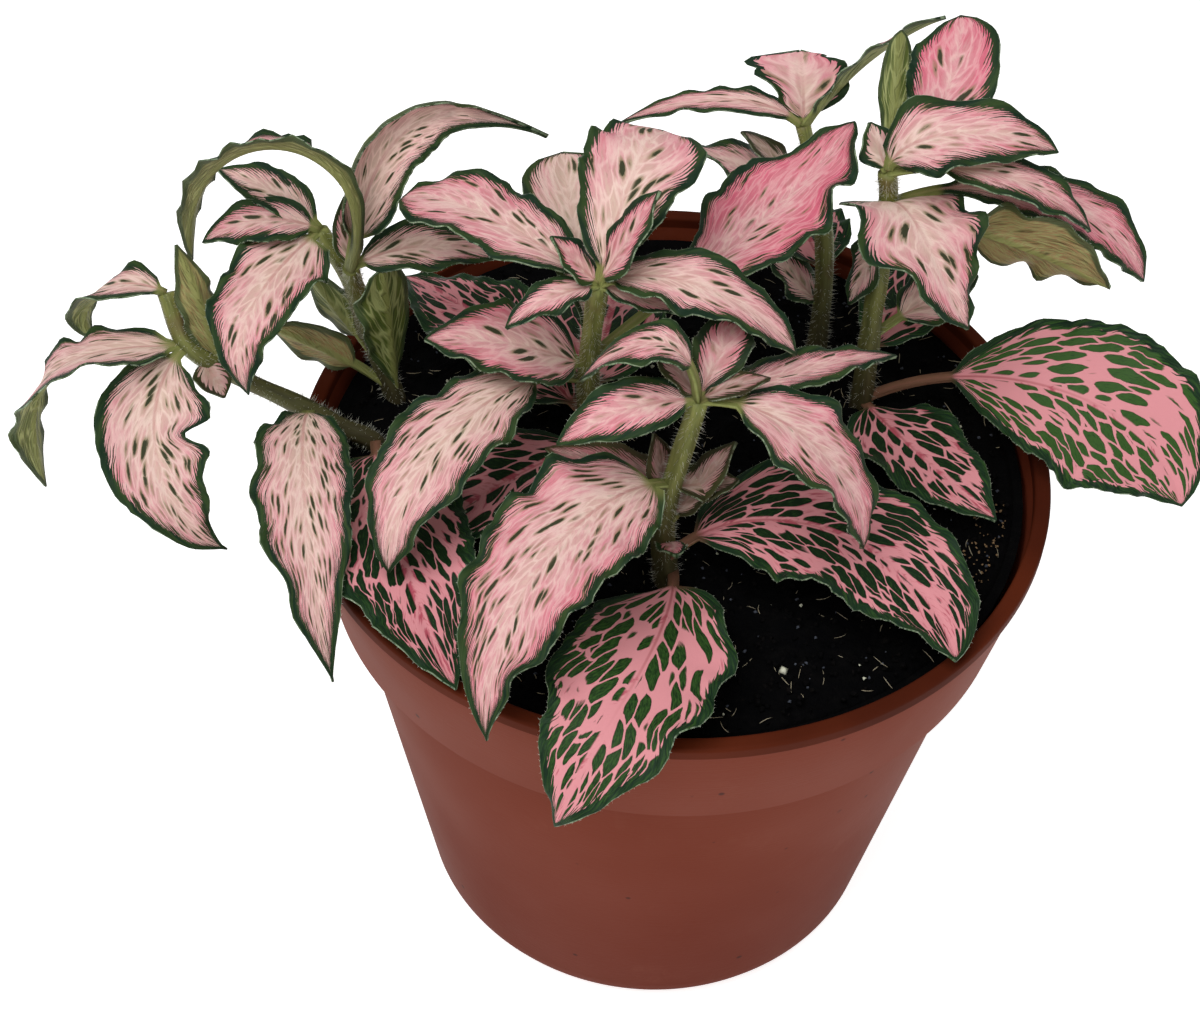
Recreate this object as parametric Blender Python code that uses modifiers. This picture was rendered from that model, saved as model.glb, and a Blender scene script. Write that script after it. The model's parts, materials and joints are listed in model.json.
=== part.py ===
"""A potted nerve plant: six leafy shoots in peat soil, in a round plastic nursery pot.

Run with: blender --background --python part.py

Z is up and the origin is the centre of the pot's flat base. Sizes of the pot are in
metres. Places on the plant are in millimetres and are scaled by MM when they are built.
"""
import random
from math import cos, pi, radians, sin
from typing import NamedTuple

import bmesh
import bpy
import numpy as np

MM = 0.001

# ---- pot: driving dimensions
POT_HEIGHT = 0.100
RIM_RADIUS = 0.060
LIP_WIDTH = 0.0026
LIP_HEIGHT = 0.0020
LIP_ROUND = 0.0006
COLLAR_HEIGHT = 0.0217
COLLAR_FOOT_RADIUS = 0.0562
STEP_DEPTH = 0.0030
BASE_RADIUS = 0.0420
BASE_ROUND = 0.0060
WALL = 0.0013
FLOOR = 0.0016
LIP_UNDERCUT = 0.0003
LIP_FILLET = 0.0006
LIP_SHOULDER = 0.0009
SHOULDER_HEIGHT = 0.0010
STEP_BELOW = 0.0020
STEP_ABOVE = 0.0010
POT_STEPS = 60
DRAIN_HOLES = 8
DRAIN_RING_RADIUS = 0.0270
DRAIN_RADIUS = 0.0035

# ---- soil: it stands clear of the pot and the stems by a small gap
SOIL_TOP = 0.096
SOIL_EDGE_SET_BACK = 0.0012
SOIL_FOOT_HEIGHT = 0.0080
GAP = 0.0003
HOLE_ROOM = 0.0007
STEM_FOOT = 0.088
CUTTER_ROOM = 0.002
MERGE_DISTANCE = 0.00001

# ---- leaves and stems, in millimetres
BLADE_THICKNESS = 0.7
PETIOLE_HALF_WIDTH = 1.0
TIP_HALF_WIDTH = 0.4
TIP_START = 0.8
FOLD_PER_CUP = 1.5
WAVES_PER_BLADE = 2.3
WAVE_SIDE_SHIFT = 1.9
BLADE_ROWS = 7
BLADE_COLUMNS = 4
SMALL_BLADE_ROWS = 6
SMALL_BLADE_COLUMNS = 2
SMALL_BLADE_WIDTH = 12
STEM_SIDES_RESOLUTION = 2
STEM_POINTS = 10

POT_COLOUR = (0.205, 0.062, 0.045, 1)
POT_ROUGHNESS = 0.55
SOIL_COLOUR = (0.010, 0.008, 0.007, 1)
SOIL_ROUGHNESS = 0.95
SHOOT_COLOUR = (0.72, 0.26, 0.32, 1)
SHOOT_ROUGHNESS = 0.6
POT_EDGE_ANGLE = radians(35)
SHOOT_EDGE_ANGLE = radians(50)


class Leaf(NamedTuple):
    """One leaf. The midrib is a curve from root to tip, and the angles are in degrees."""

    root: tuple
    tip: tuple
    width: float
    rise: float = 25      # climb of the midrib at the root, above the straight line to the tip
    droop: float = 25     # fall of the midrib at the tip
    roll: float = 0       # turn of the blade about that line
    sweep: float = 0      # sideways bow of the midrib
    twist: float = 0      # further turn of the blade towards its tip
    cup: float = 0.12     # how far the two halves fold up
    stiffness: float = 0.36   # how far the root and tip directions carry along the midrib
    petiole: float = 0.08     # bare part of the midrib
    belly: tuple = (0.55, 0.9)  # fullness near the root and near the tip
    wave: float = 0.05    # height of the margin's waves, over the width


class Shoot(NamedTuple):
    """One leafy shoot: its stem and any branch, as points from foot to crown, and leaves."""

    stems: list
    foot_radius: float
    crown_radius: float
    leaves: list


# ---- the six shoots, in millimetres
LEFT_NODE = (-76, 0, 118)
LEFT_CROWN = (-79, 4, 125)
BACK_LEFT_NODE = (-52, 17, 116)
BACK_LEFT_CROWN = (-52, 14, 123)
BACK_LEFT_SIDE_CROWN = (-57, 18, 127)
MIDDLE_NODE = (-14, -2, 122)
MIDDLE_CROWN = (-13, -6, 139)
FRONT_NODE = (-1, -23, 116)
FRONT_CROWN = (2, -22, 132)
RIGHT_NODE = (31, 20, 135)
RIGHT_CROWN = (30, 19, 142)
BACK_NODE = (22, 32, 126)
BACK_CROWN = (18, 34, 139)

SHOOTS = {
    "shoot_left": Shoot(
        [[(-48, 1, 88), (-48, 1, 97), (-54, 1, 101), (-61, 1, 106), (-69, 1, 111), LEFT_NODE, LEFT_CROWN]],
        1.9, 1.3,
        [
            Leaf(LEFT_NODE, (-69, -21, 95), 17, rise=35, droop=30, sweep=60, stiffness=0.45,
                 belly=(0.65, 1.2)),
            Leaf(LEFT_NODE, (-99, -11, 97), 14, rise=60, droop=55, twist=60, stiffness=0.7, petiole=0.04,
                 belly=(0.45, 0.9)),
            Leaf(LEFT_CROWN, (-92, 5, 114), 10, rise=75, droop=80, twist=40, stiffness=0.5, petiole=0.05,
                 belly=(0.45, 0.9)),
            Leaf((-72, 1, 114), (-77, 6, 133), 7, rise=10, droop=10, roll=180),
            Leaf((-58, 1, 104), (-49.5, -47, 96), 15, rise=55, droop=50, sweep=14, belly=(0.7, 1.2)),
            Leaf((-48, 1, 98), (-31, -52, 102), 23, rise=30, droop=10, sweep=10, petiole=0.14),
            Leaf((-74, 0, 115), (-70, -5, 112), 6, rise=20, droop=20),
        ]),
    "shoot_back_left": Shoot(
        [[(-46, 12, 88), (-46, 12, 97), (-49, 14, 106), BACK_LEFT_NODE, BACK_LEFT_CROWN],
         [(-50, 15, 108), BACK_LEFT_NODE, BACK_LEFT_SIDE_CROWN]],
        1.9, 1.3,
        [
            Leaf(BACK_LEFT_SIDE_CROWN, (-66, -6, 114), 15, rise=20, droop=75, sweep=18, stiffness=0.5,
                 petiole=0.05, belly=(0.3, 0.95)),
            Leaf(BACK_LEFT_SIDE_CROWN, (-75, 15, 126), 8, rise=42, droop=40, roll=-20),
            Leaf(BACK_LEFT_SIDE_CROWN, (-74, 27, 131), 8, rise=30, droop=20, roll=-15, cup=0.3),
            Leaf(BACK_LEFT_CROWN, (-78, 18, 120), 7, rise=122, droop=84, roll=50, twist=-40, sweep=28,
                 cup=0.4, stiffness=1.25, petiole=0.04, belly=(0.9, 0.7)),
            Leaf(BACK_LEFT_CROWN, (-22, 27, 140), 13, rise=44, droop=60, roll=40, sweep=-16, cup=0.5,
                 stiffness=0.6, belly=(0.5, 1.4)),
            Leaf(BACK_LEFT_CROWN, (-53, 19, 133), 5, rise=0, droop=0),
            Leaf(BACK_LEFT_CROWN, (-29, 20, 121), 9, rise=35, droop=30, roll=20),
            Leaf((-46, 12, 98), (-47, 13, 124), 10, rise=0, droop=0, roll=180, belly=(0.9, 0.45)),
            Leaf((-46, 12, 99), (-66, 15, 109), 8, rise=12, droop=10, roll=100, petiole=0.35),
            Leaf((-48, 13, 104), (-60, 20, 117), 8, rise=0, droop=0, roll=100, petiole=0.3),
        ]),
    "shoot_middle": Shoot(
        [[(-13, 0, 88), (-13, 0, 97), (-14, 0, 110), MIDDLE_NODE, MIDDLE_CROWN]],
        2.0, 1.4,
        [
            Leaf(MIDDLE_CROWN, (-43, 12, 139), 15, rise=16, droop=32, belly=(0.7, 0.6)),
            Leaf(MIDDLE_CROWN, (-4.5, 17, 149.5), 17, rise=35, droop=55, belly=(0.75, 0.45)),
            Leaf(MIDDLE_NODE, (-19.5, 22, 141), 14, rise=10, droop=10, belly=(1.3, 0.4)),
            Leaf(MIDDLE_CROWN, (-5, -4, 155), 10, rise=0, droop=0),
            Leaf(MIDDLE_CROWN, (-20, -4, 146), 7, rise=0, droop=0),
            Leaf(MIDDLE_CROWN, (-26, -14, 137), 7, rise=20, droop=30),
            Leaf(MIDDLE_CROWN, (16, -12.3, 132.5), 11, rise=55, droop=50, roll=10, belly=(0.6, 0.9)),
            Leaf((-14, -1, 118), (-39, -3, 124), 18, rise=15, droop=20),
            Leaf(MIDDLE_CROWN, (-1, -8, 136), 5, rise=0, droop=0),
            Leaf((-14, 0, 114), (-42, -35, 107), 16, rise=45, droop=60, sweep=35, petiole=0.22,
                 belly=(0.6, 0.9)),
            Leaf((-14, -1, 120), (25, 26, 146), 18, rise=15, droop=0, sweep=14, petiole=0.28,
                 belly=(0.8, 0.8)),
            Leaf((-14, 0, 106), (-46, 33, 105), 20, rise=15, droop=20),
            Leaf((-13, 0, 101), (-42, -24, 100), 20, rise=10, droop=10),
            Leaf((-14, 0, 110), (-8, 37, 106), 20, rise=20, droop=25),
        ]),
    "shoot_front": Shoot(
        [[(-1, -26, 88), (-1, -26, 97), (-2, -24, 108), FRONT_NODE, FRONT_CROWN]],
        2.1, 1.4,
        [
            Leaf(FRONT_CROWN, (-18, -27, 127), 9, rise=30, droop=25, roll=-25),
            Leaf(FRONT_CROWN, (-15, -19, 132), 9, rise=85, droop=60, stiffness=0.8, petiole=0.2),
            Leaf(FRONT_CROWN, (7, -10, 136.5), 9, rise=10, droop=10, belly=(0.9, 0.5)),
            Leaf(FRONT_CROWN, (-5, -17, 140), 6, rise=0, droop=0),
            Leaf(FRONT_CROWN, (32, -4, 125.5), 8, rise=4, droop=15),
            Leaf(FRONT_CROWN, (27, -31, 112), 15, rise=50, droop=50, sweep=-22, petiole=0.16),
            Leaf(FRONT_CROWN, (12, -19, 134), 5, rise=20, droop=20),
            Leaf(FRONT_NODE, (-20, -17, 116), 9, rise=0, droop=0),
            Leaf(FRONT_NODE, (-26, -61, 102), 21, rise=40, droop=50, sweep=35, belly=(0.5, 1.1)),
            Leaf((-1, -23, 115), (9, -20, 114), 7, rise=0, droop=0),
            Leaf((0, -26, 100), (-16, -68, 92), 24, rise=25, droop=65, sweep=-24, stiffness=0.42),
            Leaf((-1, -26, 103), (41, -44, 103), 25, rise=28, droop=10, sweep=-60, stiffness=0.42,
                 petiole=0.1, belly=(0.6, 0.8)),
            Leaf((-1, -24, 109), (8, -19, 121), 7, rise=0, droop=0),
            Leaf((-1, -25, 105), (0, -32, 110), 5, rise=10, droop=0),
            Leaf((-1, -24, 111), (-4, -20, 123), 6, rise=0, droop=0),
        ]),
    "shoot_right": Shoot(
        [[(31, 15, 88), (31, 15, 97), (31, 18, 118), RIGHT_NODE, RIGHT_CROWN]],
        2.0, 1.3,
        [
            Leaf((31, 15, 98), (50, -14, 101), 18, rise=10, droop=10, sweep=10),
            Leaf((31, 15, 98), (81, -5.5, 97), 27, rise=30, droop=60, roll=30, sweep=-26, petiole=0.24,
                 belly=(0.9, 0.9)),
            Leaf(RIGHT_NODE, (43, 1, 127), 21, rise=75, droop=45, sweep=30, belly=(0.28, 0.95),
                 stiffness=0.4),
            Leaf(RIGHT_CROWN, (55, 19, 147), 12, rise=78, droop=45, roll=30, belly=(0.5, 0.9)),
            Leaf(RIGHT_CROWN, (61, 13, 137), 8, rise=35, droop=45, roll=15, petiole=0.25),
            Leaf(RIGHT_NODE, (66, 12, 127), 17, rise=8, droop=12, roll=-100, twist=45, cup=0.15,
                 petiole=0.36, belly=(0.6, 0.9)),
            Leaf(RIGHT_CROWN, (40, 36, 159), 14, rise=10, droop=10, sweep=30, petiole=0.2,
                 belly=(0.9, 0.6)),
            Leaf(RIGHT_CROWN, (27, 24, 147.5), 7, rise=0, droop=0),
            Leaf((31, 20, 130), (27, 18, 116), 8, rise=0, droop=0),
            Leaf((31, 17, 110), (48, 24, 118), 12, rise=10, droop=10, petiole=0.3),
            Leaf(RIGHT_CROWN, (31.5, 36, 156), 5, rise=-10, droop=-30, roll=180, belly=(1.0, 0.6)),
            Leaf((31, 17, 106), (47, 42, 105), 15, rise=25, droop=30),
            Leaf(RIGHT_NODE, (72, 16, 125), 10, rise=42, droop=50, roll=25, sweep=-12, petiole=0.16,
                 belly=(1.0, 0.8)),
        ]),
    "shoot_back": Shoot(
        [[(24, 27, 88), (24, 27, 97), (24, 30, 112), BACK_NODE, BACK_CROWN]],
        1.8, 1.2,
        [
            Leaf((24, 29, 106), (14, 33, 115), 9, rise=0, droop=0),
            Leaf(BACK_CROWN, (17, 41, 148), 17, rise=20, droop=20, belly=(0.8, 0.35)),
            Leaf(BACK_CROWN, (-11, 35, 137), 5, rise=45, droop=30, roll=-30, twist=30),
            Leaf(BACK_CROWN, (39.5, 46, 152), 6, rise=30, droop=30, roll=-50),
            Leaf(BACK_NODE, (8.5, 33, 138), 8, rise=0, droop=0, petiole=0.35),
            Leaf(BACK_NODE, (1, 27, 139), 14, rise=0, droop=0),
            Leaf((24, 30, 112), (17, 55, 106), 16, rise=20, droop=30),
        ]),
}


# ---- small helpers
def remove_everything():
    """Start from an empty scene."""
    for thing in list(bpy.data.objects):
        bpy.data.objects.remove(thing, do_unlink=True)


def new_collection(name):
    """Add a collection to the scene."""
    collection = bpy.data.collections.new(name)
    bpy.context.scene.collection.children.link(collection)
    return collection


def new_material(name, colour, roughness):
    """Make a plain Principled material."""
    material = bpy.data.materials.new(name)
    material.use_nodes = True
    shader = material.node_tree.nodes["Principled BSDF"]
    shader.inputs["Base Color"].default_value = colour
    shader.inputs["Roughness"].default_value = roughness
    shader.inputs["Metallic"].default_value = 0.0
    return material


def add_object(name, mesh, collection, material=None):
    """Put a mesh in the scene as an object."""
    thing = bpy.data.objects.new(name, mesh)
    collection.objects.link(thing)
    if material:
        mesh.materials.append(material)
    return thing


def evaluated_mesh(thing):
    """Read an object's shape with its modifiers applied."""
    graph = bpy.context.evaluated_depsgraph_get()
    return bpy.data.meshes.new_from_object(thing.evaluated_get(graph))


def unit(vector):
    """Scale a vector to length one."""
    return vector / np.linalg.norm(vector)


# ---- turned shapes
def quarter_round(centre_x, centre_z, radius, start, end, steps=2):
    """Give points of a quarter circle in the XZ plane, with angles in degrees."""
    angles = [radians(start + (end - start) * i / steps) for i in range(steps + 1)]
    return [(centre_x + radius * cos(a), centre_z + radius * sin(a)) for a in angles]


def turned(name, profile, collection, material):
    """Turn a profile about Z. Its points run up the inside and down the outside."""
    mesh = bpy.data.meshes.new(name)
    points = [(x, 0, z) for x, z in profile]
    edges = [(i, i + 1) for i in range(len(points) - 1)]
    mesh.from_pydata(points, edges, [])
    thing = add_object(name, mesh, collection, material)
    screw = thing.modifiers.new("turn", "SCREW")
    screw.steps = POT_STEPS
    screw.render_steps = POT_STEPS
    screw.use_merge_vertices = True
    screw.merge_threshold = MERGE_DISTANCE
    shaped = evaluated_mesh(thing)
    shaped.name = name
    thing.modifiers.clear()
    thing.data = shaped
    bpy.data.meshes.remove(mesh)
    shaped.shade_smooth()
    shaped.set_sharp_from_angle(angle=POT_EDGE_ANGLE)
    return thing


def wall_radius(height):
    """Outer radius of the pot at a height."""
    collar_foot = POT_HEIGHT - COLLAR_HEIGHT
    if height >= collar_foot:
        share = (height - collar_foot) / COLLAR_HEIGHT
        return COLLAR_FOOT_RADIUS + share * (RIM_RADIUS - COLLAR_FOOT_RADIUS)
    top = COLLAR_FOOT_RADIUS - STEP_DEPTH
    return BASE_RADIUS + height / collar_foot * (top - BASE_RADIUS)


def pot_profile():
    """Give the pot's section, from the middle of its floor up the inside and down the outside."""
    collar_foot = POT_HEIGHT - COLLAR_HEIGHT
    lip_inside = RIM_RADIUS - LIP_WIDTH
    below_lip = POT_HEIGHT - LIP_HEIGHT
    inside = [
        (0, FLOOR),
        (BASE_RADIUS - BASE_ROUND, FLOOR),
        (wall_radius(BASE_ROUND) - WALL, BASE_ROUND + FLOOR / 2),
        (wall_radius(collar_foot - STEP_BELOW) - WALL, collar_foot - STEP_BELOW),
        (COLLAR_FOOT_RADIUS - WALL, collar_foot + STEP_ABOVE),
        (wall_radius(below_lip) - WALL - LIP_SHOULDER, below_lip - SHOULDER_HEIGHT),
    ]
    lip = quarter_round(lip_inside + LIP_ROUND, POT_HEIGHT - LIP_ROUND, LIP_ROUND, 180, 90)
    lip += quarter_round(RIM_RADIUS - LIP_ROUND, POT_HEIGHT - LIP_ROUND, LIP_ROUND, 90, 0)
    outside = [
        (RIM_RADIUS, below_lip),
        (wall_radius(below_lip) - LIP_UNDERCUT, below_lip - LIP_FILLET),
        (COLLAR_FOOT_RADIUS, collar_foot),
        (COLLAR_FOOT_RADIUS - STEP_DEPTH, collar_foot - STEP_ABOVE),
    ]
    rounding = quarter_round(BASE_RADIUS - BASE_ROUND, BASE_ROUND, BASE_ROUND, 0, -90, steps=4)
    return inside + lip + outside + rounding + [(0, 0)]


def soil_profile():
    """Give the soil's section, which follows the inside of the pot at a small gap."""
    collar_foot = POT_HEIGHT - COLLAR_HEIGHT
    inside = WALL + 2 * GAP
    return [
        (0, SOIL_TOP),
        (wall_radius(SOIL_TOP) - inside - SOIL_EDGE_SET_BACK, SOIL_TOP),
        (COLLAR_FOOT_RADIUS - inside, collar_foot + STEP_ABOVE),
        (wall_radius(collar_foot - STEP_BELOW) - inside, collar_foot - STEP_BELOW),
        (wall_radius(BASE_ROUND) - inside - GAP, SOIL_FOOT_HEIGHT),
        (BASE_RADIUS - BASE_ROUND - 3 * GAP, FLOOR + GAP),
        (0, FLOOR + GAP),
    ]


def cut(thing, cutters):
    """Cut a collection of closed shapes out of an object and apply the cut."""
    boolean = thing.modifiers.new("cut", "BOOLEAN")
    boolean.operation = "DIFFERENCE"
    boolean.operand_type = "COLLECTION"
    boolean.collection = cutters
    shaped = evaluated_mesh(thing)
    thing.modifiers.clear()
    thing.data = shaped


def cylinder_cutter(name, place, radius, height, cutters, sides=16):
    """Add a round cutter that stands on a point."""
    mesh = bpy.data.meshes.new(name)
    shape = bmesh.new()
    bmesh.ops.create_cone(shape, cap_ends=True, segments=sides, radius1=radius, radius2=radius, depth=height)
    bmesh.ops.translate(shape, verts=shape.verts, vec=(0, 0, height / 2))
    shape.to_mesh(mesh)
    shape.free()
    cutter = add_object(name, mesh, cutters)
    cutter.location = place
    cutter.hide_render = True
    cutter.display_type = "WIRE"
    return cutter


def make_pot(collection):
    """Make the pot, with its drain holes."""
    material = new_material("pot_plastic", POT_COLOUR, POT_ROUGHNESS)
    pot = turned("pot", pot_profile(), collection, material)
    cutters = new_collection("pot_cutters")
    for i in range(DRAIN_HOLES):
        angle = 2 * pi * (i + 0.5) / DRAIN_HOLES
        place = (DRAIN_RING_RADIUS * cos(angle), DRAIN_RING_RADIUS * sin(angle), -CUTTER_ROOM)
        cylinder_cutter(f"drain_cutter_{i}", place, DRAIN_RADIUS, FLOOR + 2 * CUTTER_ROOM, cutters)
    bpy.context.view_layer.update()
    cut(pot, cutters)
    return pot


def make_soil(collection):
    """Make the soil, with a plain hole for each stem."""
    material = new_material("soil", SOIL_COLOUR, SOIL_ROUGHNESS)
    soil = turned("soil", soil_profile(), collection, material)
    cutters = new_collection("soil_cutters")
    for name, shoot in SHOOTS.items():
        x, y, _ = shoot.stems[0][0]
        radius = shoot.foot_radius * MM + HOLE_ROOM
        place = (x * MM, y * MM, STEM_FOOT - GAP)
        cylinder_cutter(f"{name}_hole", place, radius, SOIL_TOP - STEM_FOOT + CUTTER_ROOM, cutters)
    bpy.context.view_layer.update()
    cut(soil, cutters)
    return soil


# ---- leaves
def blade_axes(leaf):
    """Give the direction from root to tip, the up side of the blade and the sideways direction."""
    line = unit(np.subtract(leaf.tip, leaf.root).astype(float))
    up = np.array([0.0, 0.0, 1.0])
    up = unit(up - up @ line * line)
    side = np.cross(line, up)
    turn = radians(leaf.roll)
    rolled = cos(turn) * up + sin(turn) * side
    return line, up, rolled, np.cross(line, rolled)


def midrib_curve(leaf, steps):
    """Give points and directions along the midrib."""
    line, up, rolled, side = blade_axes(leaf)
    root = np.array(leaf.root, float)
    tip = np.array(leaf.tip, float)
    reach = leaf.stiffness * np.linalg.norm(tip - root)
    rise, droop, sweep = radians(leaf.rise), radians(leaf.droop), radians(leaf.sweep)
    bow = cos(sweep) * line, sin(sweep) * side
    first = root + reach * (cos(rise) * (bow[0] + bow[1]) + sin(rise) * up)
    last = tip - reach * (cos(droop) * (bow[0] - bow[1]) - sin(droop) * up)
    u = np.linspace(0, 1, steps + 1)[:, None]
    v = 1 - u
    points = v ** 3 * root + 3 * v ** 2 * u * first + 3 * v * u ** 2 * last + u ** 3 * tip
    along = v ** 2 * (first - root) + 2 * v * u * (last - first) + u ** 2 * (tip - last)
    return u[:, 0], points, along / np.linalg.norm(along, axis=1)[:, None], rolled


def half_width(leaf, u):
    """Give half the blade's width at each share of the midrib: an egg-shaped leaf with a point."""
    near, far = leaf.belly
    share = np.clip((u - leaf.petiole) / (1 - leaf.petiole), 0, 1)
    widest = near / (near + far)
    height = widest ** near * (1 - widest) ** far
    blade = share ** near * (1 - share) ** far / height * leaf.width / 2
    bare = np.where(u < TIP_START, PETIOLE_HALF_WIDTH, TIP_HALF_WIDTH)
    return np.maximum(blade, bare)


def blade_grid(leaf, rows, columns, phase):
    """Give the points of a blade, row by row from root to tip, in millimetres."""
    u, points, along, rolled = midrib_curve(leaf, rows)
    width = half_width(leaf, u)
    across = np.linspace(-1, 1, columns + 1)
    fold = FOLD_PER_CUP * leaf.cup
    grid = np.zeros((rows + 1, columns + 1, 3))
    for i in range(rows + 1):
        up = unit(rolled - rolled @ along[i] * along[i])
        side = np.cross(along[i], up)
        twist = radians(leaf.twist * u[i])
        up, side = cos(twist) * up + sin(twist) * side, cos(twist) * side - sin(twist) * up
        out = np.sin(across * fold) / fold * width[i]
        lift = (1 - np.cos(across * fold)) / fold * width[i]
        angle = 2 * pi * WAVES_PER_BLADE * u[i] + phase + WAVE_SIDE_SHIFT * np.sign(across)
        lift = lift + np.sin(angle) * across ** 2 * leaf.wave * 2 * width[i]
        grid[i] = points[i] + out[:, None] * side + lift[:, None] * up
    return grid


def make_blade(name, leaf, phase, collection):
    """Make one leaf as a thin closed solid."""
    small = leaf.width < SMALL_BLADE_WIDTH
    rows = SMALL_BLADE_ROWS if small else BLADE_ROWS
    columns = SMALL_BLADE_COLUMNS if small else BLADE_COLUMNS
    grid = blade_grid(leaf, rows, columns, phase)
    corners = [tuple(point * MM) for row in grid for point in row]
    faces = []
    for i in range(rows):
        for j in range(columns):
            a = i * (columns + 1) + j
            b = a + columns + 1
            faces.append((a, a + 1, b + 1))
            faces.append((a, b + 1, b))
    mesh = bpy.data.meshes.new(name)
    mesh.from_pydata(corners, [], faces)
    blade = add_object(name, mesh, collection)
    shell = blade.modifiers.new("thickness", "SOLIDIFY")
    shell.thickness = BLADE_THICKNESS * MM
    shell.offset = 0
    return blade


# ---- stems
def smooth_path(points, count):
    """Give evenly spread points of a smooth curve through the given ones."""
    knots = np.array(points, float)
    ends = np.vstack([2 * knots[0] - knots[1], knots, 2 * knots[-1] - knots[-2]])
    path = []
    for step in np.linspace(0, len(knots) - 1, count):
        i = min(int(step), len(knots) - 2)
        t = step - i
        a, b, c, d = ends[i:i + 4]
        path.append(0.5 * (2 * b + (c - a) * t + (2 * a - 5 * b + 4 * c - d) * t ** 2
                           + (3 * b - a - 3 * c + d) * t ** 3))
    return path


def make_stem(name, points, shoot, collection):
    """Make a round stem that tapers from foot to crown, as a closed mesh."""
    path = smooth_path(points, STEM_POINTS)
    curve = bpy.data.curves.new(name, "CURVE")
    curve.dimensions = "3D"
    curve.bevel_depth = shoot.foot_radius * MM
    curve.bevel_resolution = STEM_SIDES_RESOLUTION
    curve.use_fill_caps = True
    spline = curve.splines.new("POLY")
    spline.points.add(len(path) - 1)
    for i, point in enumerate(path):
        spline.points[i].co = (*(point * MM), 1)
        share = i / (len(path) - 1)
        spline.points[i].radius = 1 + share * (shoot.crown_radius / shoot.foot_radius - 1)
    tube = bpy.data.objects.new(name, curve)
    collection.objects.link(tube)
    bpy.context.view_layer.update()
    mesh = evaluated_mesh(tube)
    shape = bmesh.new()
    shape.from_mesh(mesh)
    bmesh.ops.remove_doubles(shape, verts=shape.verts, dist=MERGE_DISTANCE)
    bmesh.ops.recalc_face_normals(shape, faces=shape.faces)
    shape.to_mesh(mesh)
    shape.free()
    stem = add_object(f"{name}_mesh", mesh, collection)
    stem.matrix_world = tube.matrix_world.copy()
    bpy.data.objects.remove(tube, do_unlink=True)
    return stem


def keep_main_shell(mesh):
    """Keep a mesh's largest shell: a sealed hollow is filled and a loose scrap is dropped."""
    shape = bmesh.new()
    shape.from_mesh(mesh)
    waiting = set(shape.verts)
    shells = []
    while waiting:
        front = [waiting.pop()]
        shell = set(front)
        while front:
            corner = front.pop()
            near = {edge.other_vert(corner) for edge in corner.link_edges} - shell
            shell |= near
            front += near
        waiting -= shell
        shells.append(shell)
    main_shell = max(shells, key=len)
    spare = [corner for corner in shape.verts if corner not in main_shell]
    bmesh.ops.delete(shape, geom=spare, context="VERTS")
    shape.to_mesh(mesh)
    shape.free()


def make_shoot(name, shoot, collection, material):
    """Fuse a shoot's stems and leaves into one solid."""
    growth = new_collection(f"{name}_growth")
    dice = random.Random(name)
    trunk = make_stem(f"{name}_stem", shoot.stems[0], shoot, collection)
    for i, points in enumerate(shoot.stems[1:]):
        make_stem(f"{name}_branch_{i}", points, shoot, growth)
    for i, leaf in enumerate(shoot.leaves):
        make_blade(f"{name}_leaf_{i}", leaf, dice.uniform(0, 2 * pi), growth)
    bpy.context.view_layer.update()
    union = trunk.modifiers.new("fuse", "BOOLEAN")
    union.operation = "UNION"
    union.operand_type = "COLLECTION"
    union.solver = "MANIFOLD"
    union.collection = growth
    mesh = evaluated_mesh(trunk)
    bpy.data.objects.remove(trunk, do_unlink=True)
    for piece in list(growth.objects):
        bpy.data.objects.remove(piece, do_unlink=True)
    bpy.data.collections.remove(growth)
    keep_main_shell(mesh)
    mesh.name = name
    mesh.materials.clear()
    mesh.shade_smooth()
    mesh.set_sharp_from_angle(angle=SHOOT_EDGE_ANGLE)
    return add_object(name, mesh, collection, material)


def main():
    """Build the whole plant."""
    remove_everything()
    collection = new_collection("potted_nerve_plant")
    make_pot(collection)
    make_soil(collection)
    for name, shoot in SHOOTS.items():
        material = new_material(f"{name}_leaves", SHOOT_COLOUR, SHOOT_ROUGHNESS)
        make_shoot(name, shoot, collection, material)


main()
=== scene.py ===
"""The looks of a potted nerve plant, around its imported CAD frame.

Run by Blender. Places and sizes on the plant are in millimetres and are scaled by MM as they are built.
The CAD soil is kept, under a lumpy sheet of peat. A smooth pot stands for the CAD pot, and each leaf and
stem is a fine mesh that stands for its shoot.
"""
import json
import random
from math import cos, pi, radians, sin
from typing import NamedTuple

import bpy
import numpy as np
from mathutils import Matrix, Vector

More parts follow.
